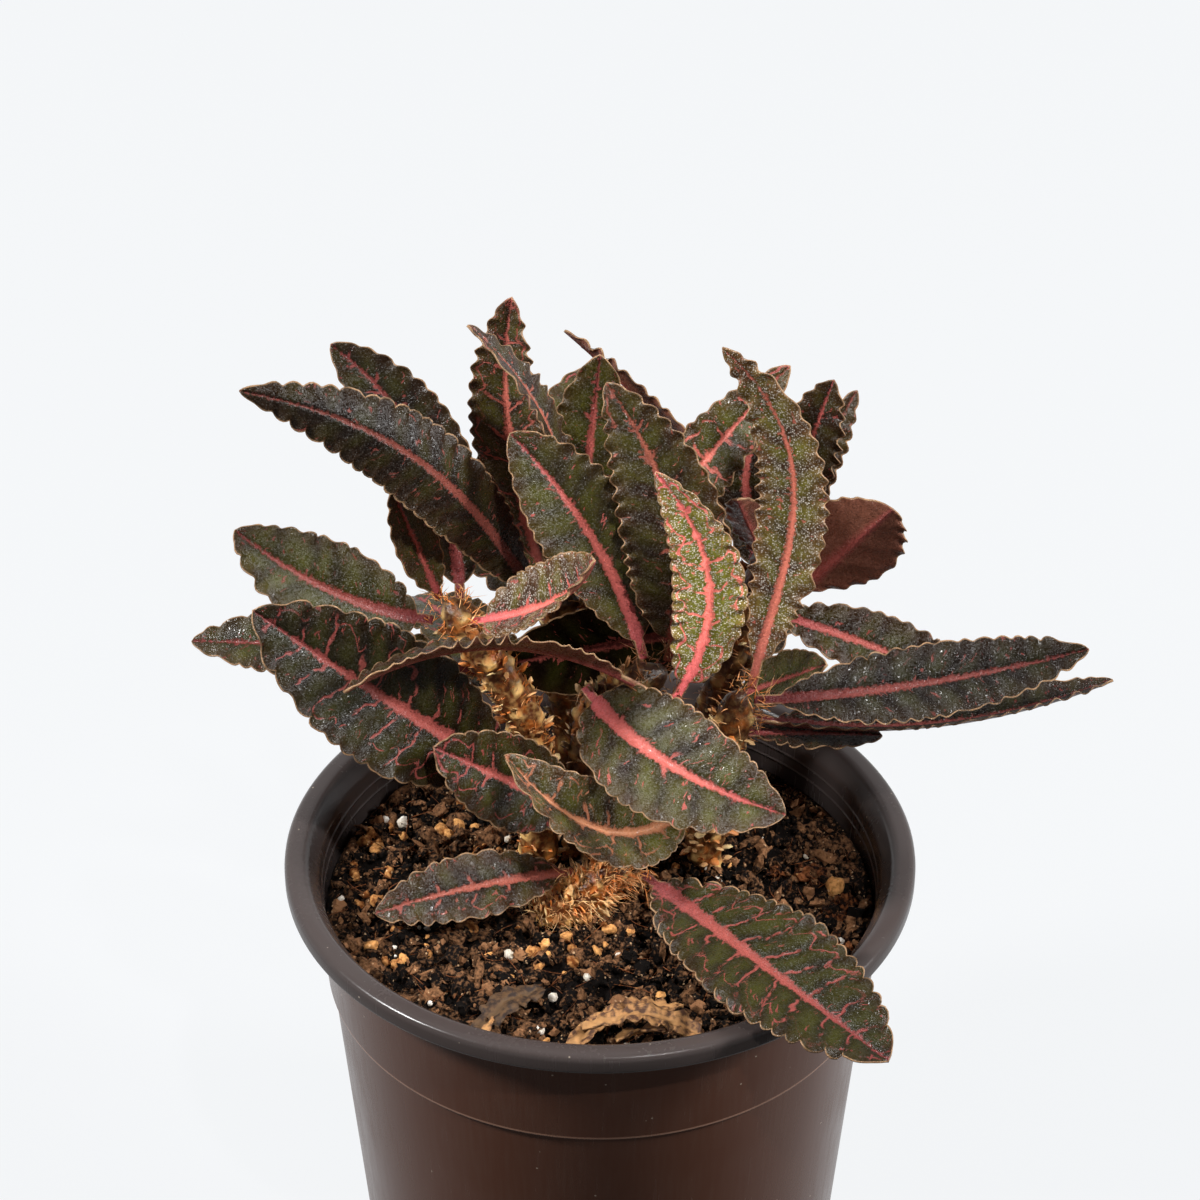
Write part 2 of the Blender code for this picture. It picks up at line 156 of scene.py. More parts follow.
def unit(vectors):
    """Each vector divided by its own length."""
    return vectors / np.linalg.norm(vectors, axis=-1, keepdims=True)


def smooth(low, high, values):
    """0 below low, 1 above high, and 3x^2 - 2x^3 between."""
    part = np.clip((values - low) / (high - low), 0.0, 1.0)
    return part * part * (3 - 2 * part)


def lattice(cells, seed):
    """A fixed random number from 0 to 1 for each whole-numbered cell, by mixing its bits."""
    x, y, z = np.moveaxis(cells, -1, 0)
    mixed = x * 73856093 ^ y * 19349663 ^ z * 83492791 ^ seed * 2654435761
    mixed = (mixed ^ (mixed >> 13)) * 1274126177
    mixed = mixed ^ (mixed >> 16)
    return (mixed & 0xFFFFFF) / float(0xFFFFFF)


def noise(points, size, seed=0):
    """Smooth noise from -1 to 1: the values of a cubic lattice's eight corners, blended by 3x^2 - 2x^3."""
    scaled = np.asarray(points, float) / size
    base = np.floor(scaled).astype(np.int64)
    ease = (scaled - base) ** 2 * (3 - 2 * (scaled - base))
    total = 0.0
    for corner in np.ndindex(2, 2, 2):
        weight = np.prod(np.where(corner, ease, 1 - ease), axis=-1)
        total = total + weight * lattice(base + np.array(corner), seed)
    return 2 * total - 1


def fractal(points, size, seed=0, octaves=3):
    """Noise added to itself at half the size and half the height, a few times over."""
    return sum(noise(points, size / 2 ** step, seed + step) / 2 ** step for step in range(octaves))


def path(points, shares):
    """Points on a smooth curve through the given ones, each share from 0 to 1 of the way along.

    Between two given points it is the cubic 0.5 (2b + (c-a)x + (2a-5b+4c-d)x^2 + (3b-a-3c+d)x^3).
    """
    points = np.array(points, float)
    padded = np.vstack([2 * points[0] - points[1], points, 2 * points[-1] - points[-2]])
    place = np.clip(shares, 0.0, 1.0) * (len(points) - 1)
    index = np.minimum(place.astype(int), len(points) - 2)
    x = (place - index)[..., None]
    a, b, c, d = (padded[index + step] for step in range(4))
    return 0.5 * (2 * b + (c - a) * x + (2 * a - 5 * b + 4 * c - d) * x ** 2
                  + (3 * b - a - 3 * c + d) * x ** 3)


def directions(points, shares):
    """The unit direction of that curve at each share."""
    step = 0.01
    return unit(path(points, np.minimum(shares + step, 1.0)) - path(points, np.maximum(shares - step, 0.0)))


def random_turns(count, rng):
    """One random rotation matrix for each of count things, from unit quaternions."""
    w, x, y, z = unit(rng.normal(size=(count, 4))).T
    rows = [[1 - 2 * (y * y + z * z), 2 * (x * y - z * w), 2 * (x * z + y * w)],
            [2 * (x * y + z * w), 1 - 2 * (x * x + z * z), 2 * (y * z - x * w)],
            [2 * (x * z - y * w), 2 * (y * z + x * w), 1 - 2 * (x * x + y * y)]]
    return np.array(rows).transpose(2, 0, 1)


def fill_mesh(mesh, points, quads, triangles, faceted=False):
    """Puts whole arrays of points and faces into an empty mesh, shaded smooth unless it is faceted."""
    corners = np.concatenate([quads.ravel(), triangles.ravel()])
    starts = np.concatenate([np.arange(len(quads)) * 4, 4 * len(quads) + np.arange(len(triangles)) * 3])
    mesh.vertices.add(len(points))
    mesh.vertices.foreach_set("co", np.ascontiguousarray(points, np.float32).ravel())
    mesh.loops.add(len(corners))
    mesh.loops.foreach_set("vertex_index", corners.astype(np.int32))
    mesh.polygons.add(len(starts))
    mesh.polygons.foreach_set("loop_start", starts.astype(np.int32))
    mesh.polygons.foreach_set("use_smooth", np.full(len(starts), not faceted))
    mesh.update(calc_edges=True)


def add_piece(name, grid, material, slot, nodes=(), faceted=False, **fields):
    """Skins stacks of closed rings and makes the object that holds them.

    grid is stacks x rows x ring x 3, in mm. Each row's ring is joined to the next row's, and each end of a
    stack closes on its ring's middle. Rings run anticlockwise seen from the stack's far end, so faces point
    outwards. A field is kept on the mesh for the material: one number or vector for each point of the grid,
    or one number for each stack.
    """
    stacks, rows, ring = grid.shape[:3]
    index = np.arange(stacks * rows * ring).reshape(stacks, rows, ring)
    after = np.roll(index, -1, axis=2)
    quads = np.stack([index[:, :-1], after[:, :-1], after[:, 1:], index[:, 1:]], axis=-1).reshape(-1, 4)
    poles = index.size + np.arange(2 * stacks).reshape(stacks, 2, 1) + np.zeros((1, 1, ring), int)
    low_caps = np.stack([poles[:, 0], after[:, 0], index[:, 0]], axis=-1)
    high_caps = np.stack([poles[:, 1], index[:, -1], after[:, -1]], axis=-1)
    mesh = bpy.data.meshes.new(name)
    caps = np.concatenate([low_caps, high_caps]).reshape(-1, 3)
    fill_mesh(mesh, with_poles(grid) * MM, quads, caps, faceted)
    for title, values in fields.items():
        wide = values.ndim == 4
        if not wide:
            values = values[:, None, None] if values.ndim == 1 else values
            values = np.broadcast_to(values, grid.shape[:3])[..., None]
        attribute = mesh.attributes.new(title, "FLOAT_VECTOR" if wide else "FLOAT", "POINT")
        flat = with_poles(values).astype(np.float32)
        attribute.data.foreach_set("vector" if wide else "value", flat.ravel())
    mesh.materials.append(material)
    piece = bpy.data.objects.new(name, mesh)
    bpy.context.scene.collection.objects.link(piece)
    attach(piece, "root")
    if nodes:
        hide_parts(*nodes)
    return piece


def with_poles(values):
    """The grid's values in a row, followed by the mean of each stack's first and last ring."""
    return np.concatenate([values.reshape(-1, values.shape[-1]),
                           values[:, (0, -1)].mean(axis=2).reshape(-1, values.shape[-1])])


def feed(node, inputs):
    """Sets a node's sockets, or links them. A node given as a value stands for its first output in use."""
    sockets = [socket for socket in node.inputs if socket.enabled]
    names = [socket.name for socket in sockets]
    for key, value in inputs.items():
        socket = sockets[key if isinstance(key, int) else names.index(key)]
        if isinstance(value, bpy.types.Node):
            value = next(output for output in value.outputs if output.enabled)
        if isinstance(value, bpy.types.NodeSocket):
            node.id_data.links.new(value, socket)
        else:
            socket.default_value = value


def add(tree, kind, *values, **settings):
    """Adds a shader node with its settings, and feeds its sockets in order, or by name from a dictionary.

    In order, a MapRange takes its value, the two ends that it comes from and the two that it goes to.
    """
    made = tree.nodes.new("ShaderNode" + kind)
    for name, value in settings.items():
        setattr(made, name, value)
    by_name = bool(values) and isinstance(values[0], dict)
    feed(made, values[0] if by_name else dict(enumerate(values)))
    return made


def new_material(name, **sockets):
    """A material, the function that adds nodes to it, and its shader.

    The values that are the same all over it are set on the shader's own sockets.
    """
    material = bpy.data.materials.new(name)
    material.use_nodes = True
    shader = material.node_tree.nodes["Principled BSDF"]
    for socket, value in sockets.items():
        shader.inputs[socket.replace("_", " ").title().replace("Ior", "IOR")].default_value = value
    return material, partial(add, material.node_tree), shader


# A leaf's values. Those up to petiole are the part's own, but for the dark inner back leaf, which is 1.6 mm
# wider. Lengths are in mm and angles in degrees.
# stem, along, side: where it grows: its stem, the share of the way up it, and the angle round it from +X
# tip, width, face: where the blade ends, how wide it is, and the way that its upper face looks
# bow, sweep, lean: how far the rib bends towards the face and to the left, and how much nearer to the tip
# fold, widest, petiole: how the halves fold up, and the shares of its length where it is widest and begins
# green: from brown-black to leaf green; tan: from pink ribs to tan ones; veins: how much of the net shows
# crisp, wave: how strongly the margin is waved, and the length of one wave
# basal: how much greener the blade is at its foot; tone: how light its colours are, 1 being the usual,
# which is partly the leaf's own lightness and partly painted light and shade
# rib: the same for the rib and the veins alone
Leaf = namedtuple("Leaf", "stem along side tip width face bow sweep lean fold widest petiole "
                          "green tan veins crisp wave basal tone rib",
                  defaults=(0.0, 0.0, 0.0, 12.0, 0.5, 0.06, 0.35, 0.0, 0.5, 0.8, 3.1, 0.0, 1.0, 0.8))


# Where a leaf's lightness is far from 1, it is partly painted light and shade: strongly lit leaves, as
# centre_green and right_tall, are painted lighter and greyer, and inner_back, in deep shade behind the
# stems, is painted nearly black
LEAVES = {
    "left_upper": Leaf("left", 0.98, 188, (-61, 9, 152), 17, (0.1, -0.7, 0.7), bow=2.5, sweep=3,
                       green=0.6, veins=0.15, crisp=0.7, tone=0.7, rib=0.5),
    "left_big": Leaf("left", 0.33, -150, (-57, -6, 146), 24, (0.1, -0.8, 0.6), bow=3, sweep=1,
                     green=0.3, veins=0.95, crisp=0.85, wave=4.3, tone=0.36, rib=1.2),
    "left_far": Leaf("left", 0.70, 170, (-71, 18, 123), 14, (0, -0.5, 0.85), bow=3,
                     green=0.5, veins=0.3, crisp=0.5, tone=0.9, rib=0.6),
    "left_inner": Leaf("left", 0.90, -40, (-1, -9, 158), 15, (-0.3, -0.4, 0.9), bow=-4, fold=30,
                       widest=0.42, green=0.1, veins=0.6, crisp=0.9, tone=4.0, rib=0.6),
    "left_back": Leaf("left", 0.93, 90, (-46, 38, 171), 16, (-0.1, -0.8, 0.6), sweep=-6,
                      green=0.2, veins=0.5, crisp=0.5, tone=0.48, rib=0.75),
    "left_small": Leaf("left", 1.00, 125, (-35, 17, 155), 9, (0.3, -0.7, 0.6), green=0.5, veins=0.2,
                       crisp=0.4),
    "left_long": Leaf("rear", 0.92, 190, (-58, 4, 182), 15, (-0.3, -0.6, 0.75), bow=9, sweep=-6,
                      lean=0.4, fold=-15, green=0.1, tan=0.2, veins=0.1, crisp=0.7, tone=0.5, rib=0.62),
    "rear_tall": Leaf("rear", 0.95, 130, (-15, 38, 180), 14, (-0.3, -0.9, 0.3), bow=-2, sweep=4,
                      green=0.25, tan=0.2, veins=0.9, crisp=0.6, tone=1.9),
    "rear_curled": Leaf("rear", 1.00, -100, (-22, 27, 181), 12, (0.9, -0.1, 0.4), bow=8,
                        green=0.1, tan=0.4, veins=0.5, crisp=0.8),
    "rear_mid": Leaf("rear", 1.00, 50, (0, 36, 170), 16, (0, -1, 0.2), green=0.6, veins=0.3, crisp=0.4),
    "rear_orange": Leaf("rear", 0.85, -15, (32, 29, 172), 14, (-0.4, -0.8, 0.5), bow=3,
                        green=0.45, tan=0.15, veins=1.0, crisp=0.5, tone=1.6, rib=1.0),
    "centre_broad": Leaf("centre", 0.93, 140, (-15, 17, 166), 18, (0.1, -0.8, 0.6), bow=2, sweep=-2.5,
                         widest=0.55, green=0.4, veins=0.2, crisp=0.6, tone=0.95, rib=1.0),
    "centre_dark": Leaf("centre", 1.00, 80, (1, 20, 174), 19, (-0.1, -0.9, 0.4), bow=3, sweep=-6,
                        widest=0.43, green=0.3, tan=0.4, veins=0.45, crisp=0.6, tone=1.2, rib=0.7),
    "centre_green": Leaf("centre", 1.00, -30, (9, 0, 169), 13, (0, -1, 0.3), sweep=-7, widest=0.42,
                         green=1.0, veins=1.0, crisp=0.6, tone=8.5, rib=0.95),
    "centre_arching": Leaf("centre", 0.93, -140, (-42, -15, 136), 13, (-0.2, 0.5, 0.85), bow=7,
                           green=0.1, tan=0.1, veins=0.3, crisp=0.9),
    "centre_front": Leaf("centre", 0.73, 190, (31, -18, 113), 21, (0.1, -0.8, 0.6), bow=4, sweep=-3.5,
                         widest=0.45, green=0.35, veins=0.3, crisp=0.7, tone=1.0, rib=1.0),
    "inner_back": Leaf("rear_right", 0.72, -140, (-19, 19, 117), 17.6, (0, -1, 0.25), green=0.15,
                       veins=0.15, crisp=0.2, tone=0.08, rib=0.3),
    "right_tall": Leaf("right", 1.00, 60, (20, 16, 183), 13, (-0.3, -0.9, 0.3), bow=-2, sweep=-9,
                       lean=0.5, green=0.25, tan=0.3, veins=0.15, crisp=0.8, tone=4.4, rib=0.45),
    "right_long": Leaf("right", 0.98, 0, (82, 0, 134), 14, (0, -0.6, 0.8), sweep=-1.5,
                       green=0.15, veins=0.1, crisp=0.7, tone=0.27, rib=0.65),
    "right_under": Leaf("right", 0.88, 5, (88, 8, 122), 13, (0, 0.1, 1), bow=-5, fold=30,
                        green=0.15, veins=0.1, crisp=0.7, tone=0.5, rib=0.6),
    "right_low": Leaf("right", 0.80, 5, (49, 8, 110), 9, (0, -0.2, 1), green=0.15, veins=0.1, crisp=0.5,
                      tone=0.6),
    "right_back": Leaf("rear_right", 0.78, -20, (68, 22, 109), 13, (0, -0.6, 0.8), bow=2,
                       green=0.2, veins=0.1, crisp=0.6),
    "right_green": Leaf("rear_right", 0.50, -60, (39, 11, 123), 11, (0, -0.5, 0.8), green=1.0, veins=0.1,
                        crisp=0.3),
    "far_left": Leaf("rear_right", 0.93, 120, (-6, 41, 172), 12, (0.3, 0.5, 0.8), bow=2, green=0.1,
                     veins=0.2, crisp=0.6),
    "far_dark": Leaf("rear_right", 1.00, 200, (30, 35, 163), 13, (0, -0.9, 0.4), sweep=3, green=0.1,
                     veins=0.2, crisp=0.5),
    "far_top": Leaf("rear_right", 1.00, 80, (40, 36, 165), 13, (-0.3, -0.8, 0.5), green=0.1, veins=0.2,
                    crisp=0.9),
    "far_end": Leaf("rear_right", 0.86, 50, (45, 46, 157), 9, (-0.3, -0.8, 0.5), sweep=1, green=0.2,
                    tan=0.3, veins=0.2, crisp=0.6),
    "far_out": Leaf("rear_right", 0.80, -15, (50, 22, 148), 20, (0.3, 0.9, 0.3), petiole=0.22,
                    green=0.1, veins=0.3, crisp=0.7, tone=0.7),
    "far_curl": Leaf("rear_right", 0.95, -110, (23, 14, 155), 10, (0, 0.8, 0.5), fold=30, green=0.1,
                     veins=0.2, crisp=0.6, tone=1.5),
    "front_right": Leaf("front", 1.00, 0, (46, -60, 96), 23, (0.1, -0.45, 0.9), bow=3, sweep=-1.5,
                        widest=0.57, green=0.6, veins=1.0, crisp=1.15, wave=3.3, tone=0.38, rib=1.1),
    "front_left": Leaf("front", 0.55, 170, (-39, -10, 85), 12.5, (0, -0.6, 0.8), bow=4,
                       green=0.1, tan=0.25, veins=0.6, crisp=0.6, tone=1.1, rib=0.7),
    "front_curled": Leaf("right", 0.44, 210, (-16, -8, 118), 17, (0.2, -0.6, 0.8), bow=1, sweep=9,
                         fold=32, green=0.3, tan=0.9, veins=0.9, crisp=0.6, basal=0.9, tone=1.5, rib=0.8),
    "front_behind": Leaf("centre", 0.26, -110, (-28, -6, 118), 17, (0.1, -0.8, 0.6), green=0.35,
                         veins=0.8, crisp=0.5, tone=0.6, rib=0.95),
    "back_centre": Leaf("rear", 0.88, 90, (-2, 66, 150), 18, (0, 0.2, 0.95), bow=5, green=0.5, veins=0.8),
    "back_left": Leaf("rear", 0.70, 130, (-30, 55, 130), 18, (-0.2, 0.2, 0.95), bow=5, green=0.4,
                      veins=0.5),
    "back_right": Leaf("rear_right", 0.82, 90, (30, 70, 140), 18, (0, 0.2, 0.95), bow=5, green=0.3,
                       veins=0.6),
    "back_low": Leaf("rear", 0.55, 80, (5, 60, 112), 17, (0, 0.2, 0.95), bow=5, green=0.6, veins=0.9),
    "back_low_right": Leaf("rear_right", 0.45, 60, (34, 56, 106), 16, (0.1, 0.2, 0.95), bow=4, green=0.4,
                           veins=0.4),
    "back_low_left": Leaf("left", 0.45, 120, (-34, 48, 112), 16, (-0.1, 0.2, 0.95), bow=4, green=0.5,
                          veins=0.7),
}


def leaf_foot(shape):
    """The middle of the petiole's end, clear of its stem: axis point + outward radius and half section."""
    stem = STEMS[shape.stem]
    share = np.array([shape.along])
    axis_point = path(stem.points, share)[0]
    axis = directions(stem.points, share)[0]
    side = np.radians(shape.side)
    out = np.array([np.cos(side), np.sin(side), 0.0])
    out = unit(out - axis * out.dot(axis))
    chord = unit(np.array(shape.tip) - axis_point)
    normal = unit(np.array(shape.face) - chord * np.dot(shape.face, chord))
    half_section = (abs(normal.dot(out)) * PART_THICKNESS / 2
                    + abs(np.cross(normal, chord).dot(out)) * PETIOLE_HALF_WIDTH)
    return axis_point + out * (stem.radius + LEAF_CLEARANCE + half_section)


def rib_line(foot, shape, s):
    """The rib's points and the blade's left and up directions, for a column of shares s.

    The rib leaves its chord by bow towards the face and sweep towards the left, times the arch
    4s(1-s)(1+lean(2s-1)); up is the face made square to the rib, and left is up x tangent.
    """
    chord = np.array(shape.tip) - foot
    along = unit(chord)
    face = unit(np.array(shape.face) - along * np.dot(shape.face, along))
    bend = face * shape.bow + np.cross(face, along) * shape.sweep
    arch = 4 * s * (1 - s) * (1 + shape.lean * (2 * s - 1))
    slope = 4 * (1 - 2 * s) + 4 * shape.lean * (2 * s * (1 - s) - (1 - 2 * s) ** 2)
    tangent = unit(chord + bend * slope)
    up = unit(face - tangent * (tangent @ face)[:, None])
    return foot + chord * s + bend * arch, np.cross(up, tangent), up


def blade_half_width(shape, s):
    """Half the width: 0.9 sqrt(1-s) for the petiole, plus a sine swelling skewed to the widest place."""
    share = np.clip((s - shape.petiole) / (1 - shape.petiole), 0.0, 1.0)
    swell = np.sin(np.pi * share ** (np.log(0.5) / np.log(shape.widest))) ** BLADE_FULLNESS
    return (PETIOLE_HALF_WIDTH * np.sqrt(np.clip(1 - s, 0, 1))
            + (shape.width / 2 - PETIOLE_HALF_WIDTH) * np.clip(swell, 0, 1))


BladeGrid = namedtuple("BladeGrid", "s along t over side half out flat")


def blade_grid(shape, length, seed, look):
    """Where the skin's points lie on a blade that is spread out flat, in rows of one ring each.

    s is the share of the way along, from just before the foot, and along is the same in mm. t runs from 1
    at the left edge to -1 at the right one over the top, and back below; it is x - 0.11 sin(2 pi x) for
    even steps of x, so that points lie closer together at the edges and the rib. over is 1 above and -1
    below, side 1 left and -1 right, half the half width and out the distance from the rib.
    """
    rows = max(FEWEST_ROWS, int(length / (look.row_pitch / MM)))
    s = np.linspace(-FOOT_OVERLAP, 1.0, rows)[:, None]
    even = np.linspace(-1, 1, BLADE_COLUMNS)
    across = even - 0.11 * np.sin(2 * np.pi * even)
    t = np.concatenate([across[::-1], across])
    over = np.concatenate([np.ones_like(across), -np.ones_like(across)])
    side = np.where(t > 0, 1.0, -1.0)
    half = np.maximum(blade_half_width(shape, np.clip(s, 0, 1)), TIP_HALF_WIDTH)
    flat = np.stack(np.broadcast_arrays(s * length, 40 * side, seed * 7.0), axis=-1)
    return BladeGrid(s, s * length, t, over, side, half, np.abs(half * t), flat)


def margin_loop(grid, shape, front, look):
    """How far the crisped margin rises, reaches out and runs on along the blade, in mm.

    It rises as the sine of its phase, reaches out as the cosine and runs on with the sine, so that its
    lobes are wide and its notches narrow. All three fade inwards as exp(-x^2), x being the way in over
    wave_reach, and towards the leaf's ends. Noise makes the waves drift, swell and tear, and the whole
    blade billow.
    """
    drift = 3.4 * noise(grid.flat, 8.0, 1) + 1.6 * noise(grid.flat, 3.4, 9)
    strength = np.clip(0.75 + 1.2 * noise(grid.flat, 6.5, 2), 0.35, 1.3)
    torn = noise(grid.flat, 1.3, 12) + 0.6 * noise(grid.flat, 0.7, 13)
    phase = 2 * np.pi * grid.along / (shape.wave * look.wave_scale) + drift + 3 * grid.side
    ends = smooth(0.0, 0.18, grid.s) * smooth(1.0, 0.9, grid.s)
    reach = np.minimum(look.wave_reach / MM, 0.45 * grid.half)
    near = ends * np.exp(-((grid.half - grid.out) / reach) ** 2)
    rise = 0.7 * front * shape.crisp * strength * near * (np.sin(phase) + 0.2 * torn)
    lobe = shape.crisp * (0.4 + 0.6 * strength) * near * (0.65 * np.cos(phase) - 0.1 + 0.25 * torn)
    run_on = 0.08 * shape.wave * np.minimum(strength, 1.0) * near * np.sin(phase)
    billow = BILLOW * noise(grid.flat, 13.0, 3) * ends * grid.t ** 2 * np.minimum(grid.half / 8, 1.2)
    return rise + billow, lobe, run_on


def side_veins(grid, shape, seed, look):
    """The side veins' phase, how far between two of them a point is, their loops, and the puffs.

    The phase is a whole number on each vein. Veins leave the rib every vein_pitch, lean towards the tip by
    0.34 of the way out and a little more further out, and wander by noise of 5 mm. |sin(pi phase)| is 0 on
    a vein and 1 midway, and the blade puffs up with it.
    """
    away = np.stack(np.broadcast_arrays(grid.along, grid.out + 60 * grid.side, seed * 5.0), axis=-1)
    wander = noise(away, 5.0, 4)
    first = np.random.default_rng(seed).uniform(0, 40)
    lean_out = grid.out * (0.34 + 0.022 * grid.out)
    phase = (grid.along - lean_out + 1.3 * wander) / (look.vein_pitch / MM) + 50.5 * grid.side + first
    between = np.abs(np.sin(np.pi * phase))
    loop = (grid.out / grid.half - 0.5 - 0.28 * between + 0.16 * wander) * grid.half
    lamina = smooth(0.6, 2.5, grid.out) * smooth(0.0, 2.5, grid.half - grid.out)
    puff = look.puff / MM * (between - 0.6) * lamina * min(1.0, shape.width / 15)
    return phase, between, loop, puff


def blade_surface(foot, shape, seed, look):
    """The blade's closed skin and what its material needs to know at each point.

    A point is rib + left (t h + lobe) cos(fold) + up (|t| h sin(fold) + waves + puffs +- half the
    thickness) + along x run-on, where h is the half width. The rib is sunk above and keeled below, by bells
    across it. The margin rises the other way on a leaf that leans to the front, which is seen from its tip.
    """
    grid = blade_grid(shape, np.linalg.norm(np.array(shape.tip) - foot), seed, look)
    rib, left, up = rib_line(foot, shape, grid.s)
    front = 1.0 if shape.tip[1] > foot[1] else -1.0
    wave, lobe, run_on = margin_loop(grid, shape, front, look)
    phase, between, loop, puff = side_veins(grid, shape, seed, look)

    rib_scale = np.clip(shape.width / 18, 0.55, 1.15)
    rib_half = (RIB_HALF_WIDTH * np.clip(0.97 - grid.s, 0, 1) ** 0.8 + 0.02) * rib_scale
    bell = rib_scale * np.exp(-(grid.out / (0.2 + 0.9 * rib_half)) ** 2)
    groove = RIB_GROOVE * bell
    keel = RIB_KEEL * bell * np.clip(1 - grid.s, 0, 1) ** 0.7
    thickness = EDGE_THICKNESS + (MIDDLE_THICKNESS - EDGE_THICKNESS) * (1 - np.abs(grid.t) ** 3)
    fold = np.radians(shape.fold)
    height = (np.sqrt(grid.out ** 2 + 0.3) - np.sqrt(0.3)) * np.sin(fold) + wave + puff - groove
    height = np.where(grid.over > 0, height + thickness / 2, height - thickness / 2 - keel + groove * 0.6)
    reach = (grid.half * grid.t + np.sign(grid.t) * lobe) * np.cos(fold)
    points = (rib[:, None] + left[:, None] * reach[..., None] + up[:, None] * height[..., None]
              + np.cross(left, up)[:, None] * run_on[..., None])

    full = np.zeros_like(grid.out)
    flare = 0.5 * (1 - between) ** 3 * shape.veins
    green = shape.green + shape.basal * smooth(0.5, 0.1, grid.s)
    fields = {
        "vein_place": [phase, grid.out / grid.half, loop],
        "blade_place": [grid.out - rib_half - flare, grid.half - grid.out, grid.over + full],
        "blade_tint": [full + green, full + shape.tan, full + shape.veins],
        # blade_mark holds the seed, the lightness with its painted light and shade, and the share along
        "blade_mark": [full + seed, full + shape.tone, full + grid.s],
    }
    stacked = {title: np.stack(values, axis=-1)[None] for title, values in fields.items()}
    return points[None], {**stacked, "rib_light": (full + shape.rib)[None]}


BladeSockets = namedtuple(
    "BladeSockets", "place phase reach loop rib edge over green tan veins seed tone share")


def blade_sockets(put):
    """What the blade's mesh keeps for its material, as sockets, in the order of blade_surface's fields."""
    parts = []
    for title in ("vein_place", "blade_place", "blade_tint", "blade_mark"):
        kept = put("Attribute", attribute_name=title).outputs["Vector"]
        parts.extend(put("SeparateXYZ", kept).outputs)
    return BladeSockets(put("TexCoord").outputs["Object"], *parts)


def vein_net(put, blade, teeth, bends, look):
    """Where the net of veins shows, from 0 to 1, and how far each point is off a side vein, in mm."""
    # Side veins are lines at whole numbers of the phase, thinner outwards, each with its own length
    bent = put("Math", bends, 0.36, blade.phase, operation="MULTIPLY_ADD")
    bent = put("Math", teeth, 0.08, bent, operation="MULTIPLY_ADD")
    off_line = put("Math", bent, 0.5, operation="PINGPONG")
    off_line = put("Math", off_line, look.vein_pitch / MM, operation="MULTIPLY")
    line_half = put("MapRange", blade.reach, 0.0, 1.0, 0.36, 0.1)
    inside = put("Math", line_half, off_line, operation="SUBTRACT")
    line_mask = put("MapRange", inside, -0.1, 0.12)
    which = put("Math", bent, operation="ROUND")
    which = put("CombineXYZ", which, blade.seed)
    chance = put("TexWhiteNoise", which)
    longest = put("MapRange", chance, 0.0, 1.0, 0.35, 1.0)
    longest = put("Math", longest, blade.veins, operation="MULTIPLY")
    short_of = put("Math", longest, blade.reach, operation="SUBTRACT")
    kept = put("MapRange", short_of, -0.02, 0.08)
    line_mask = put("Math", line_mask, kept, operation="MULTIPLY")

    # Loops join the side veins' ends in some of the spaces between them
    off_loop = put("Math", bends, 1.6, blade.loop, operation="MULTIPLY_ADD")
    off_loop = put("Math", off_loop, 0.8, operation="SUBTRACT")
    off_loop = put("Math", off_loop, operation="ABSOLUTE")
    loop_mask = put("MapRange", off_loop, 0.28, 0.1)
    which = put("Math", bent, operation="FLOOR")
    which = put("CombineXYZ", which, blade.seed, 3.0)
    chance = put("TexWhiteNoise", which)
    shown = put("Math", blade.veins, chance, operation="SUBTRACT")
    shown = put("MapRange", shown, 0.35, 0.4)
    loop_mask = put("Math", loop_mask, shown, operation="MULTIPLY")

    # Stray dashes, nine to a vein's pitch, run like the side veins, in some patches of about 4 mm
    dash_x = put("Math", bent, 9.0, operation="MULTIPLY")
    dash_y = put("Math", blade.reach, 4.0, operation="MULTIPLY")
    dash_place = put("CombineXYZ", dash_x, dash_y, blade.seed)
    dash = put("TexNoise", dash_place, 1.0, 1.0)
    dash = put("MapRange", dash, 0.64, 0.68, 0.0, 0.85)
    gate = put("TexNoise", blade.place, 1 / (4 * MM), 1.0)
    gate = put("MapRange", gate, 0.46, 0.54)
    dash = put("Math", dash, gate, operation="MULTIPLY")

    # Lines and loops break off here and there, by noise of 2 mm
    net = put("Math", line_mask, loop_mask, operation="MAXIMUM")
    breaks = put("TexNoise", blade.place, 1 / (2.0 * MM), 2.0)
    breaks = put("MapRange", breaks, 0.38, 0.46)
    net = put("Math", net, breaks, operation="MULTIPLY")
    return put("Math", net, dash, operation="MAXIMUM"), off_line


def lamina_colour(put, blade, mottle, off_line, grain, lift, look):
    """The blade's colour: mottled, darker along its veins, browner near its margin, grained, and lifted by
    its lightness, which is partly painted light and shade.

    Some of the grains are pale, and more of them show on a lifted leaf, which paints a greyish sheen on the
    strongly lit leaves.
    """
    greened = put("Math", mottle, 1.4, blade.green, operation="MULTIPLY_ADD")
    greened = put("Math", off_line, 0.16, greened, operation="MULTIPLY_ADD")
    greened = put("Math", greened, 0.9, operation="SUBTRACT", use_clamp=True)
    lamina = put("Mix", greened, look.dark, look.green, data_type="RGBA")
    off_vein = put("Math", off_line, blade.rib, operation="MINIMUM")
    halo = put("MapRange", off_vein, 0.3, 1.8, 0.62)
    lamina = put("VectorMath", lamina, halo, operation="SCALE")
    near_edge = put("MapRange", blade.edge, 3.5, 0.3, 0.0, 0.6)
    lamina = put("Mix", near_edge, lamina, look.bronze, data_type="RGBA")
    lot, domed = grain
    # Pale grains: partly the skin's own grain, and partly a painted sheen, as they grow with the lift
    pale = put("MapRange", lot, 0.3, 1.0, 0.0, 0.5)
    fleck_and_sheen = put("Math", pale, domed, operation="MULTIPLY")
    fleck_and_sheen = put("Math", fleck_and_sheen, lift, operation="MULTIPLY", use_clamp=True)
    lamina = put("Mix", fleck_and_sheen, lamina, look.fleck_and_sheen, data_type="RGBA")
    return put("VectorMath", lamina, lift, operation="SCALE")


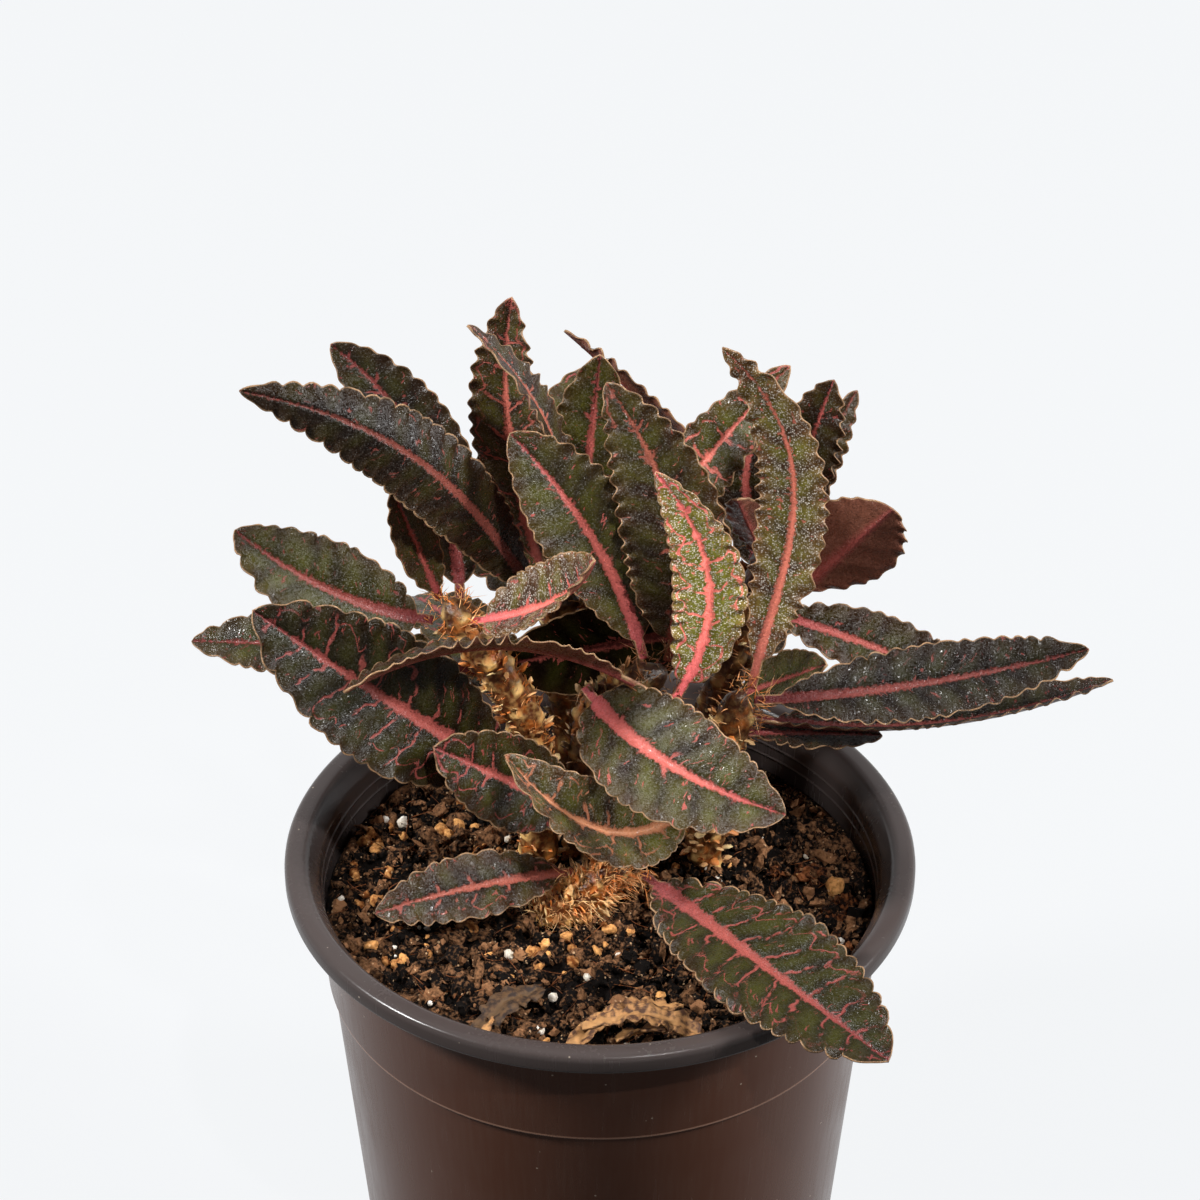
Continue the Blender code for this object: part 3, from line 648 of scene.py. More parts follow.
def rib_colour(put, blade, teeth, ragged, lift, look):
    """The ribs' and veins' colour: bright in their middles, maroon at their edges and near foot and tip."""
    off_middle = put("Math", blade.share, 0.5, operation="SUBTRACT")
    off_middle = put("Math", off_middle, operation="ABSOLUTE")
    deep = put("MapRange", off_middle, 0.15, 0.48, 0.0, 0.75)
    colour = put("Mix", deep, look.pink, look.rib_deep, data_type="RGBA")
    colour = put("Mix", blade.tan, colour, look.tan, data_type="RGBA")
    shade = put("MapRange", teeth, -0.3, 0.3, 0.7, 1.2)
    shade = put("Math", shade, lift, operation="MULTIPLY")
    rib_light = put("Attribute", attribute_name="rib_light").outputs["Fac"]
    shade = put("Math", shade, rib_light, operation="MULTIPLY")
    colour = put("VectorMath", colour, shade, operation="SCALE")
    outer = put("MapRange", ragged, -0.75, 0.1, 0.0, 0.5)
    return put("Mix", outer, colour, look.rib_edge, data_type="RGBA")


def leaf_material(look):
    """Living succulent leaf: a waxy skin over a grainy blade, dark olive with pink ribs and a tan margin.

    The skin gives a soft sheen that the grains break into sparkle, and ribs and veins are sunk a little.
    """
    material, put, shader = new_material("succulent_leaf_waxy_skin", ior=1.45)
    blade = blade_sockets(put)
    # Ribs and veins have a fuzzy outline, with teeth of about 0.6 mm
    teeth = put("TexNoise", blade.place, 1 / (0.6 * MM), 3.0)
    teeth = put("Math", teeth, 0.5, operation="SUBTRACT")
    ragged = put("Math", teeth, 1.5, blade.rib, operation="MULTIPLY_ADD")
    rib_mask = put("MapRange", ragged, 0.2, -0.16)
    # Side veins and the margin's line bend and fade over about 2.4 mm
    bends = put("TexNoise", blade.place, 1 / (2.4 * MM), 1.0)
    net, off_line = vein_net(put, blade, teeth, bends, look)
    pink_mask = put("Math", net, rib_mask, operation="MAXIMUM")
    # The blade is mottled over about 5 mm, and grained with domed cells of 0.3 mm
    mottle = put("TexNoise", blade.place, 1 / (5 * MM), 4.0)
    cells = put("TexVoronoi", blade.place, 1 / (0.3 * MM))
    domed = put("MapRange", cells.outputs["Distance"], 0.6, 0.1)
    lot = put("SeparateXYZ", cells.outputs["Color"])
    # lift raises or lowers every colour of the blade by its lightness, painting light on the strongly lit
    # leaves and shade on those in deep shade
    lift = put("Math", blade.tone, 0.7, operation="POWER")
    lamina = lamina_colour(put, blade, mottle, off_line, (lot, domed), lift, look)
    veins = rib_colour(put, blade, teeth, ragged, lift, look)
    upper = put("Mix", pink_mask, lamina, veins, data_type="RGBA")
    # The underside is maroon, with a pink keel
    maroon = put("Mix", mottle, look.under, look.under_pink, data_type="RGBA")
    keel_mask = put("MapRange", ragged, 0.9, -0.3)
    lower = put("Mix", keel_mask, maroon, veins, data_type="RGBA")
    side = put("MapRange", blade.over, -0.2, 0.2)
    skin = put("Mix", side, lower, upper, data_type="RGBA")
    # A line of 0.2 mm runs along the margin, fainter in places
    lined = put("MapRange", bends, 0.36, 0.54, 0.35)
    margin = put("MapRange", blade.edge, 0.3, 0.14)
    margin = put("Math", margin, lined, operation="MULTIPLY")
    skin = put("Mix", margin, skin, look.margin, data_type="RGBA")
    # The domed cells, about as fine as the picture shows, break the gloss up into sparkle
    relief = put("Math", domed, 0.06, operation="MULTIPLY")
    relief = put("Math", pink_mask, -0.05, relief, operation="MULTIPLY_ADD")
    bump = put("Bump", {"Strength": 0.9, "Distance": MM, "Height": relief})
    gloss = put("MapRange", lot, 0.0, 1.0, 0.18, 0.5)
    # The darkest leaves are in deep shade and don't shine
    shine = put("MapRange", blade.tone, 0.1, 0.3, 0.0, 0.34)
    # Each cell's wax is tilted its own way, by up to about 12 degrees, and glints by itself
    tilt = put("VectorMath", cells.outputs["Color"], (0.5, 0.5, 0.5), operation="SUBTRACT")
    tilt = put("VectorMath", tilt, 0.42, operation="SCALE")
    tilt = put("VectorMath", tilt, bump, operation="ADD")
    tilt = put("VectorMath", tilt, operation="NORMALIZE")
    feed(shader, {"Base Color": skin, "Normal": tilt, "Roughness": gloss, "Specular IOR Level": shine})
    return material


def make_leaves(look):
    """The living leaves, each with its own seed."""
    material = leaf_material(look)
    for seed, (name, shape) in enumerate(LEAVES.items()):
        grid, fields = blade_surface(leaf_foot(shape), shape, seed, look)
        add_piece(f"leaf_{name}_skin", grid, material, "leaf_lamina", [f"leaf_{name}"], **fields)


def stem_axis(stem):
    """The stem's points with its buried foot, straight below the first of them."""
    return [(stem.points[0][0], stem.points[0][1], SOIL_LEVEL - BURIED_STEM)] + list(stem.points)


def round_frames(points, shares):
    """The curve's points, with two unit directions square to it and to each other."""
    axis = directions(points, shares)
    across = unit(np.cross(axis, np.array([0.0, 1.0, 0.0])))
    return path(points, shares), across, np.cross(axis, across)


def stem_surface(stem, seed, look):
    """A scaly stem: a tube whose radius swells into a knob at each leaf scar.

    Scars climb the stem by scar_pitch and turn by the golden angle. Each knob is a bell in height and in
    angle, steeper below than above, and the largest of them counts at each point; noise roughens the whole.
    The bark is painted darker among the leaf feet at the top, as painted shade.
    """
    axis = stem_axis(stem)
    length = np.linalg.norm(np.diff(np.array(axis), axis=0), axis=1).sum()
    rows = int(length / STEM_ROW)
    shares = np.linspace(0, 1, rows)
    centre, across, over = round_frames(axis, shares)
    angles = np.linspace(0, 2 * np.pi, STEM_SIDES, endpoint=False)
    height = (shares * length)[:, None]
    pitch = look.scar_pitch / MM
    count = int(length / pitch)
    scar_height = np.arange(count) * pitch
    scar_angle = np.arange(count) * GOLDEN_ANGLE + seed
    rise = height[..., None] - scar_height
    turn = (angles[None, :, None] - scar_angle + np.pi) % (2 * np.pi) - np.pi
    steep = np.where(rise < 0, 0.4, 1.2)
    knobs = np.exp(-(rise / steep) ** 2 - (turn * stem.radius / 1.2) ** 4).max(axis=2)
    ring = np.cos(angles)[None, :, None] * across[:, None] + np.sin(angles)[None, :, None] * over[:, None]
    rough = fractal(centre[:, None] + ring * stem.radius, 1.3, seed, 4)
    dome = np.sqrt(np.clip((length - height + 0.3) / (1.2 * stem.radius), 0.02, 1.0))
    radius = (stem.radius * 0.9 + look.knob / MM * knobs + 0.35 * rough) * dome
    grid = (centre[:, None] + ring * radius[..., None])[None]
    # Each stem's lightness is painted shade, lowered further among the leaf feet at the top
    tone = stem.tone * (1 - 0.6 * smooth(0.86, 0.98, shares))
    return grid, {"knob": knobs[None], "tone": tone[None, :, None]}


def bark_material(look):
    """Corky stem of old leaf scars: dry and matt, straw-coloured knobs with dark gaps between, which is
    partly the bark's own colour and partly painted light on the knobs and painted shade in the gaps.
    """
    material, put, shader = new_material("corky_scarred_stem", roughness=0.4, ior=1.45)
    place = put("TexCoord").outputs["Object"]
    knob = put("Attribute", attribute_name="knob").outputs["Fac"]
    # The bark's grain is 0.9 mm, and its rusty patches are 2.5 mm
    rough = put("TexNoise", place, 1 / (0.9 * MM), 4.0)
    # Lighter on the knobs and darker between them, partly as painted light and shade
    light = put("Math", rough, 0.7, knob, operation="MULTIPLY_ADD")
    light = put("MapRange", light, 0.3, 0.95)
    ramp = put("Mix", light, look.gap, look.straw, data_type="RGBA")
    rust = put("TexNoise", place, 1 / (2.5 * MM), 2.0)
    rust = put("MapRange", rust, 0.5, 0.7, 0.0, 0.6)
    colour = put("Mix", rust, ramp, look.rust, data_type="RGBA")
    # The stem's lightness paints its shade onto the bark
    tone = put("Attribute", attribute_name="tone").outputs["Fac"]
    colour = put("VectorMath", colour, tone, operation="SCALE")
    bump = put("Bump", {"Strength": 0.8, "Distance": 0.4 * MM, "Height": rough})
    feed(shader, {"Base Color": colour, "Normal": bump})
    return material


def strands(roots, heads, lengths, rng, thickness, droop=0.35):
    """Fine fibres: tapering three-sided strands along root + head x + a curl that grows as x squared."""
    x = np.linspace(0, 1, 6)[None, :, None]
    curl = unit(rng.normal(size=roots.shape) + np.array([0.0, 0.0, -droop]))
    line = (roots[:, None] + heads[:, None] * lengths[:, None, None] * x
            + curl[:, None] * lengths[:, None, None] * rng.uniform(0.2, 0.7, (len(roots), 1, 1)) * x ** 2)
    wide = unit(np.cross(heads, rng.normal(size=heads.shape)))
    deep = np.cross(heads, wide)
    angles = np.array([0.0, 2.0, 4.0]) * np.pi / 3
    radius = (thickness * (1.05 - x ** 2))[..., None]
    ring = (wide[:, None, None] * np.cos(angles)[None, None, :, None]
            + deep[:, None, None] * np.sin(angles)[None, None, :, None])
    return line[:, :, None] + ring * radius


def bark_spots(stem, shares, rng):
    """Places at shares of the stem's length and at random round it, with the ways out and up from there."""
    axis = stem_axis(stem)
    centre, across, over = round_frames(axis, shares)
    angle = rng.uniform(0, 2 * np.pi, (len(shares), 1))
    out = across * np.cos(angle) + over * np.sin(angle)
    return centre + out * stem.radius * 0.85, out, directions(axis, shares)


def stem_strands(look, rng):
    """The bristles' roots, headings, lengths and tones, the last being their stems' painted shade: thickest
    on the front stem, tufted at leaf feet.
    """
    roots, heads, lengths, painted_shade_tones = [], [], [], []
    for name, stem in STEMS.items():
        thick = name == "front"
        count = look.bristles * 8 if thick else look.bristles
        shares = rng.uniform(0.12 if thick else 0.25, 1.0, count) ** (1.0 if thick else 0.5)
        spots, out, up = bark_spots(stem, shares, rng)
        roots.append(spots)
        heads.append(unit(out + 0.7 * up + 0.5 * rng.normal(size=out.shape)))
        lengths.append(rng.uniform(1.4, 3.6, count) if thick else rng.uniform(0.8, 2.8, count))
        tuft = look.bristles // 8
        roots.append(np.array(stem.points[-1]) + rng.normal(size=(tuft, 3)) * stem.radius * 0.35)
        top = directions(stem_axis(stem), np.ones(tuft))
        heads.append(unit(top + 0.6 * rng.normal(size=(tuft, 3))))
        lengths.append(rng.uniform(1.0, 2.4, tuft))
        painted_shade_tones.append(np.full(count + tuft, stem.tone))
    for shape in LEAVES.values():
        foot = leaf_foot(shape)
        along = unit(np.array(shape.tip) - foot)
        roots.append(foot + rng.normal(size=(FOOT_BRISTLES, 3)) * 0.7)
        heads.append(unit(along * 0.8 + rng.normal(size=(FOOT_BRISTLES, 3)) * 0.8))
        lengths.append(rng.uniform(1.2, 4.0, FOOT_BRISTLES))
        painted_shade_tones.append(np.full(FOOT_BRISTLES, STEMS[shape.stem].tone))
    return (np.concatenate(values) for values in (roots, heads, lengths, painted_shade_tones))


def fibre_material(look):
    """Dry stipule fibre: thin, stiff and slightly shiny, from gold to rust, and darkened by its stem's
    lightness as painted shade.
    """
    material, put, shader = new_material("dry_stipule_fibre", roughness=0.5, ior=1.5)
    shade = put("Attribute", attribute_name="shade").outputs["Fac"]
    colour = put("Mix", shade, look.rust, look.gold, data_type="RGBA")
    # Each stem's lightness paints its shade onto its fibres and scales
    tone = put("Attribute", attribute_name="tone").outputs["Fac"]
    colour = put("VectorMath", colour, tone, operation="SCALE")
    feed(shader, {"Base Color": colour})
    return material


def papery_scales(look, rng):
    """Dry scales on the stems: each a small torn flake, flat in section, that narrows to a bent point.

    Its width is (0.3 + x) (1 - x)^0.7, x being the share of its length, and its edges are torn by chance.
    """
    x = np.linspace(0, 1, 5)
    width = 1.5 * (0.3 + x) * (1.02 - x) ** 0.7
    angles = np.linspace(0, 2 * np.pi, 6, endpoint=False)
    count = look.scales
    pieces = []
    for stem in STEMS.values():
        spots, out, up = bark_spots(stem, rng.uniform(0.2, 0.92, count), rng)
        head = unit(up + out * rng.uniform(0.1, 0.9, (count, 1)) + 0.3 * rng.normal(size=out.shape))
        side = unit(np.cross(head, out))
        face = np.cross(side, head)
        size = rng.uniform(0.7, 2.6, (count, 1, 1, 1))
        bow = (0.5 * x ** 2)[None, :, None, None] * face[:, None, None]
        cup = 0.35 * np.cos(angles)[None, None, :, None] ** 2 * face[:, None, None]
        torn = rng.uniform(0.25, 0.6, (count, len(x), len(angles), 1))
        flat = side[:, None, None] * np.cos(angles)[None, None, :, None] * torn
        thin = face[:, None, None] * np.sin(angles)[None, None, :, None] * 0.05
        along = head[:, None, None] * x[None, :, None, None]
        flake = along + bow + (flat + cup * 0.5 + thin) * width[None, :, None, None]
        pieces.append(spots[:, None, None] + size * flake)
    return np.concatenate(pieces)


def make_stems(look):
    """The stems' bark, then the bristles and the scales on it."""
    rng = np.random.default_rng(11)
    bark = bark_material(look)
    for seed, (name, stem) in enumerate(STEMS.items()):
        grid, fields = stem_surface(stem, seed, look)
        add_piece(f"stem_{name}_bark", grid, bark, "stem_bark", [f"stem_{name}"], **fields)
    roots, heads, lengths, painted_shade_tones = stem_strands(look, rng)
    grid = strands(roots, heads, lengths, rng, BRISTLE_RADIUS)
    fibre = fibre_material(look)
    # Bristles vary from rust to gold at random, and those near the soil at the left are painted the
    # lightest gold, as painted light where the light falls on the front stem's tuft
    golden_and_lit = rng.uniform(0, 0.5, len(grid)) + 0.35 * (roots[:, 2] < SOIL_LEVEL + 16) * (roots[:, 0] < 1)
    add_piece("stipule_fibres", grid, fibre, "stem_bark", shade=golden_and_lit, tone=painted_shade_tones)
    grid = papery_scales(look, rng)
    # The scales take their stems' lightness, as painted shade
    add_piece("papery_scales", grid, fibre, "stem_bark", shade=rng.uniform(0.05, 1, len(grid)) ** 1.5,
              tone=np.repeat([stem.tone for stem in STEMS.values()], look.scales))


def outer_wall(z):
    """The pot wall's outer radius at a height, apart from the lip."""
    step_z = POT_HEIGHT - STEP_DROP
    radius = STEP_RADIUS + WALL_SLOPE * (z - step_z)
    return radius + STEP_DEPTH if z > step_z + STEP_DEPTH / 2 else radius


def rounded(corners, steps=5):
    """An outline through (radius, z, fillet) corners, each cut by its fillet and drawn as a quadratic."""
    corners = np.array(corners, float)
    line = [corners[:1, :2]]
    for before, corner, after in zip(corners, corners[1:], corners[2:]):
        start = corner[:2] + unit(before[:2] - corner[:2]) * corner[2]
        end = corner[:2] + unit(after[:2] - corner[:2]) * corner[2]
        x = np.linspace(0, 1, steps)[:, None]
        line.append(start * (1 - x) ** 2 + corner[:2] * 2 * x * (1 - x) + end * x ** 2)
    return np.vstack(line + [corners[-1:, :2]])


def turned(outline, sides):
    """A turned solid: each outline point carried round Z at its radius and height."""
    angles = np.linspace(0, 2 * np.pi, sides, endpoint=False)
    radius = outline[:, 0, None]
    height = np.broadcast_to(outline[:, 1, None], (len(outline), sides))
    return np.stack([radius * np.cos(angles), radius * np.sin(angles), height], axis=-1)[None]


def pot_outline():
    """The pot's section: from the middle of the base round the outside, over the lip and down inside.

    Below the lip, the inside has two fine beads.
    """
    step_z = POT_HEIGHT - STEP_DROP
    under_lip = POT_HEIGHT - LIP_FACE
    lip_inner = LIP_RADIUS - LIP_TOP_WIDTH
    beads = [(outer_wall(under_lip - drop) - WALL - height, under_lip - drop, 0.1)
             for middle in BEAD_DROPS
             for drop, height in ((middle - BEAD_HALF, 0), (middle, BEAD_HEIGHT), (middle + BEAD_HALF, 0))]
    return rounded([
        (AXIS_RADIUS, 0.0, 0),
        (outer_wall(0) - BASE_BEVEL, 0.0, 0.6),
        (outer_wall(BASE_BEVEL), BASE_BEVEL, 0.6),
        (outer_wall(step_z), step_z, 0.12),
        (outer_wall(step_z + STEP_DEPTH), step_z + STEP_DEPTH * 0.6, 0.2),
        (outer_wall(under_lip), under_lip, 0.5),
        (LIP_RADIUS, under_lip, 0.7),
        (LIP_RADIUS, POT_HEIGHT, 1.3),
        (lip_inner - 0.4, POT_HEIGHT, 1.2),
        (outer_wall(under_lip) - WALL, under_lip, 0.8),
        *beads,
        (outer_wall(step_z + STEP_DEPTH) - WALL, step_z + STEP_DEPTH, 0.3),
        (outer_wall(step_z) - WALL, step_z, 0.3),
        (outer_wall(FLOOR) - WALL, FLOOR, 1.0),
        (AXIS_RADIUS, FLOOR, 0),
    ])


def pot_material(look):
    """Injection-moulded polypropylene, brown-black: satin, with faint drawn streaks and a little dust.

    The streaks and dust keep the reflections of the lights from being one clean band.
    """
    material, put, shader = new_material("polypropylene_moulded", ior=1.49, specular_ior_level=0.36)
    place = put("TexCoord").outputs["Object"]
    apart = put("SeparateXYZ", place)
    under_lip = (POT_HEIGHT - LIP_FACE) * MM
    rim = put("MapRange", apart.outputs["Z"], under_lip - MM, under_lip)
    # Streaks run down the wall: the pattern is 0.9 mm fine round the pot and 55 mm along it
    drawn = put("VectorMath", place, (1 / (0.9 * MM), 1 / (0.9 * MM), 1 / (55 * MM)), operation="MULTIPLY")
    streaks = put("TexNoise", drawn, 1.0, 3.0)
    # They come and go in clouds of 14 mm
    cloud = put("TexNoise", place, 1 / (14 * MM), 3.0)
    dusty = put("Math", streaks, cloud, operation="MULTIPLY")
    dusty = put("MapRange", dusty, 0.15, 0.4)
    body = put("Mix", dusty, look.body, look.worn, data_type="RGBA")
    # The inside is painted darker with the lip's colour, as painted shade inside the pot: it is told from
    # the outside by its distance from the axis at each height
    flat = put("VectorMath", place, (1.0, 1.0, 0.0), operation="MULTIPLY")
    radius = put("VectorMath", flat, operation="LENGTH")
    slant = put("Math", apart.outputs["Z"], -WALL_SLOPE, radius.outputs["Value"], operation="MULTIPLY_ADD")
    foot_radius = outer_wall(0) - WALL / 2
    inside = put("MapRange", slant, (foot_radius + 0.35) * MM, (foot_radius + 0.15) * MM)
    body = put("Mix", inside, body, look.rim, data_type="RGBA")
    body = put("Mix", rim, body, look.rim, data_type="RGBA")
    # A painted highlight: the step's lower edge is painted as a paler line, 0.4 mm wide, where its rounded
    # edge catches the light
    step_edge = (POT_HEIGHT - STEP_DROP + STEP_DEPTH) * MM
    off_edge = put("Math", apart.outputs["Z"], step_edge, operation="SUBTRACT")
    off_edge = put("Math", off_edge, operation="ABSOLUTE")
    step_highlight = put("MapRange", off_edge, 0.27 * MM, 0.15 * MM, 0.0, 0.9)
    body = put("Mix", step_highlight, body, look.edge, data_type="RGBA")
    # Dust specks of up to 0.4 mm, where the middle of a 4 mm cell lies at the surface
    specks = put("TexVoronoi", place, 1 / (4 * MM))
    specks = put("MapRange", specks, 0.05, 0.03, 0.0, 0.7)
    colour = put("Mix", specks, body, look.dust, data_type="RGBA")
    gloss = put("MapRange", dusty, 0.0, 1.0, 0.2, 0.3)
    bump = put("Bump", {"Strength": 0.2, "Distance": 0.04 * MM, "Height": streaks})
    feed(shader, {"Base Color": colour, "Roughness": gloss, "Normal": bump})
    return material


def make_pot(look):
    """The pot's shell, with its drain holes cut by upright cylinders."""
    shell = turned(pot_outline(), POT_SIDES)
    pot = add_piece("pot_shell", shell, pot_material(look), "pot_plastic", ["pot"])
    sides = np.linspace(0, 2 * np.pi, DRAIN_SIDES, endpoint=False)
    places = (np.arange(DRAIN_COUNT) + 0.5) * 2 * np.pi / DRAIN_COUNT
    middle = np.stack([np.cos(places), np.sin(places), 0 * places], axis=-1)[:, None, None] * DRAIN_CIRCLE
    ring = np.stack([np.cos(sides), np.sin(sides), 0 * sides], axis=-1)[None, None] * DRAIN_RADIUS
    # Each cylinder reaches 2 mm past the floor on both sides
    heights = np.array([-2.0, FLOOR + 2.0])[None, :, None, None] * np.array([0.0, 0.0, 1.0])
    cutter = add_piece("drain_cutter", middle + ring + heights, pot.data.materials[0], "pot_plastic")
    cut = pot.modifiers.new("drains", "BOOLEAN")
    cut.object = cutter
    cut.solver = "EXACT"
    whole = pot.evaluated_get(bpy.context.evaluated_depsgraph_get())
    pot.data = bpy.data.meshes.new_from_object(whole)
    pot.modifiers.remove(cut)
    bpy.data.objects.remove(cutter)


def soil_height(x, y):
    """The part's own lumpy surface: crossed waves of two sizes, over a dish and a bank at the left."""
    dish = SOIL_DISH * (x * x + y * y) / LIP_RADIUS ** 2
    swell = np.sin(x / 9.0 + 1.2) * np.cos(y / 8.0 - 0.6)
    crumbs = np.sin(x / 2.3 + 0.7 * y) * np.cos(y / 2.7 - 0.5 * x)
    bank = SOIL_BANK * np.maximum(0.0, -x / LIP_RADIUS - 0.25)
    return SOIL_LEVEL + dish + bank + SOIL_BUMP * (0.7 * swell + 0.5 * crumbs)


def soil_radius(z):
    """How far the soil reaches at a height: the wall's inner face less a hair."""
    return outer_wall(z) - WALL - GAP


def soil_surface():
    """The soil's plug: up its side from the middle of the bottom, then over the rough top to the middle.

    The top is the part's own surface plus noise of 3.4 mm, 1.5 mm and 0.8 mm, which fades at the wall.
    """
    step_z = POT_HEIGHT - STEP_DROP
    edge_z = SOIL_LEVEL + SOIL_EDGE_RISE
    angles = np.linspace(0, 2 * np.pi, SOIL_SIDES, endpoint=False)
    side_z = np.array([FLOOR + GAP, FLOOR + GAP, 30.0, step_z, step_z + STEP_DEPTH, edge_z])
    side_radius = np.array([0.05] + [soil_radius(z) for z in side_z[1:]])
    top_radius = side_radius[-1] * np.linspace(1, 0.001, SOIL_RINGS + 1)[1:]
    radius = np.concatenate([side_radius, top_radius])[:, None]
    x = radius * np.cos(angles)
    y = radius * np.sin(angles)
    at = np.stack([x, y, 0 * x], axis=-1)
    fade = smooth(1.0, 0.97, radius / side_radius[-1])
    grit = 1.1 * noise(at, 3.4, 21) + 0.8 * noise(at, 1.5, 22) + 0.45 * noise(at, 0.8, 23)
    top = edge_z + (soil_height(x, y) - 0.5 + grit - edge_z) * fade
    z = np.concatenate([np.broadcast_to(side_z[:, None], (len(side_z), len(angles))), top[len(side_z):]])
    # The top's noise is kept to paint the bed darker in its hollows, as painted shade
    hollow_shade = np.concatenate([np.zeros((len(side_z), len(angles))), grit[len(side_z):]])
    return np.stack([x, y, z], axis=-1)[None], hollow_shade[None]


def lumps(places, sizes, rng, rows=3, ring=5, rough=0.3, build=(1.0, 1.0, 1.0)):
    """Irregular grains: for each place, a ball of a few rings, stretched, jittered, turned and moved."""
    polar = np.linspace(np.pi, 0, rows + 2)[1:-1, None]
    around = np.linspace(0, 2 * np.pi, ring, endpoint=False)[None]
    ball = np.stack([np.sin(polar) * np.cos(around), np.sin(polar) * np.sin(around),
                     np.cos(polar) + 0 * around], axis=-1)[None]
    stretch = rng.uniform(0.55, 1.35, (len(places), 1, 1, 3)) * np.array(build)
    jitter = 1 + rough * rng.uniform(-1, 1, (len(places), rows, ring, 1))
    turns = random_turns(len(places), rng)
    turned_balls = np.einsum("nij,nrkj->nrki", turns, ball * stretch * jitter)
    return places[:, None, None] + turned_balls * sizes[:, None, None, None]


def clusters(middles, sizes, count, rng):
    """Crumbs that make up clods: count of them round every middle, at a random share of its size."""
    heads = unit(rng.normal(size=(len(middles), count, 3))) * np.array([1.0, 1.0, 0.6])
    reach = sizes[:, None, None] * rng.uniform(0.2, 1.0, (len(middles), count, 1))
    places = (middles[:, None] + heads * reach).reshape(-1, 3)
    return places, np.repeat(sizes, count) * rng.uniform(0.12, 0.3, len(places))


def soil_places(count, rng, reach=1.0, middle=(0.0, 0.0)):
    """Random places on the soil, even over a disc of that share of the soil's own radius."""
    radius = (soil_radius(SOIL_LEVEL) - 1.5) * reach * np.sqrt(rng.uniform(0, 1, count))
    angle = rng.uniform(0, 2 * np.pi, count)
    x = middle[0] + radius * np.cos(angle)
    y = middle[1] + radius * np.sin(angle)
    return np.stack([x, y, soil_height(x, y)], axis=-1)


def earth_material(name, dark, light, roughness, pale, grain):
    """Loose potting material: dry and matt, each lump of its own shade, broken by noise of grain mm."""
    material, put, shader = new_material(name, roughness=roughness, ior=1.45, specular_ior_level=0.15)
    place = put("TexCoord").outputs["Object"]
    shade = put("Attribute", attribute_name="shade").outputs["Fac"]
    broken = put("TexNoise", place, 1 / (grain * MM), 4.0)
    light_share = put("Math", broken, 2.4, shade, operation="MULTIPLY_ADD")
    light_share = put("MapRange", light_share, 1.2, 2.2)
    colour = put("Mix", light_share, dark, light, data_type="RGBA")
    # Pale flecks of up to 0.5 mm lie in half of the cells of 0.9 mm
    flecks = put("TexVoronoi", place, 1 / (0.9 * MM))
    rarity = put("SeparateXYZ", flecks.outputs["Color"])
    size = put("MapRange", rarity, 0.5, 1.0, 0.0, 0.32)
    flecks = put("Math", size, flecks, operation="SUBTRACT")
    flecks = put("MapRange", flecks, 0.0, 0.05, 0.0, 0.6)
    colour = put("Mix", flecks, colour, pale, data_type="RGBA")
    bump = put("Bump", {"Strength": 1.0, "Distance": 0.35 * MM, "Height": broken})
    feed(shader, {"Base Color": colour, "Normal": bump})
    return material


def make_soil(look):
    """The soil's bed, its peat crumbs and its bark chips."""
    rng = np.random.default_rng(31)
    peat = earth_material("peat_mix", look.dark, look.peat, 0.95, look.speck, 0.6)
    grid, hollow_shade = soil_surface()
    # The bed is painted darker in its hollows, as painted shade
    add_piece("soil_bed", grid, peat, "soil_mix", ["soil"], shade=0.45 * hollow_shade - 0.05)
    # The crumbs' middles lie just above the bed, and their shade goes by patches of 7 mm
    places = soil_places(look.crumbs, rng)
    sizes = rng.uniform(0.25, 0.85, look.crumbs)
    sizes = sizes * rng.choice(CRUMB_SIZES, look.crumbs, p=CRUMB_SHARES)
    grid = lumps(places + np.array([0, 0, 0.2]) * sizes[:, None], sizes, rng, rough=0.5)
    patchy = rng.uniform(-0.7, 1.1, look.crumbs) ** 3 + 0.5 * noise(places, 7.0, 33)
    add_piece("peat_crumbs", grid, peat, "soil_mix", faceted=True, shade=patchy)
    # The chips lie 0.7 mm up, and most of them are dark
    places = soil_places(look.chips, rng)
    sizes = rng.uniform(0.4, 1.2, look.chips)
    grid = lumps(places + np.array([0, 0, 0.7]), sizes, rng, 4, 5, 0.35, CHIP_BUILD)
    add_piece("bark_chips", grid, peat, "soil_mix", faceted=True,
              shade=rng.uniform(0.1, 1.0, look.chips) ** 1.5)


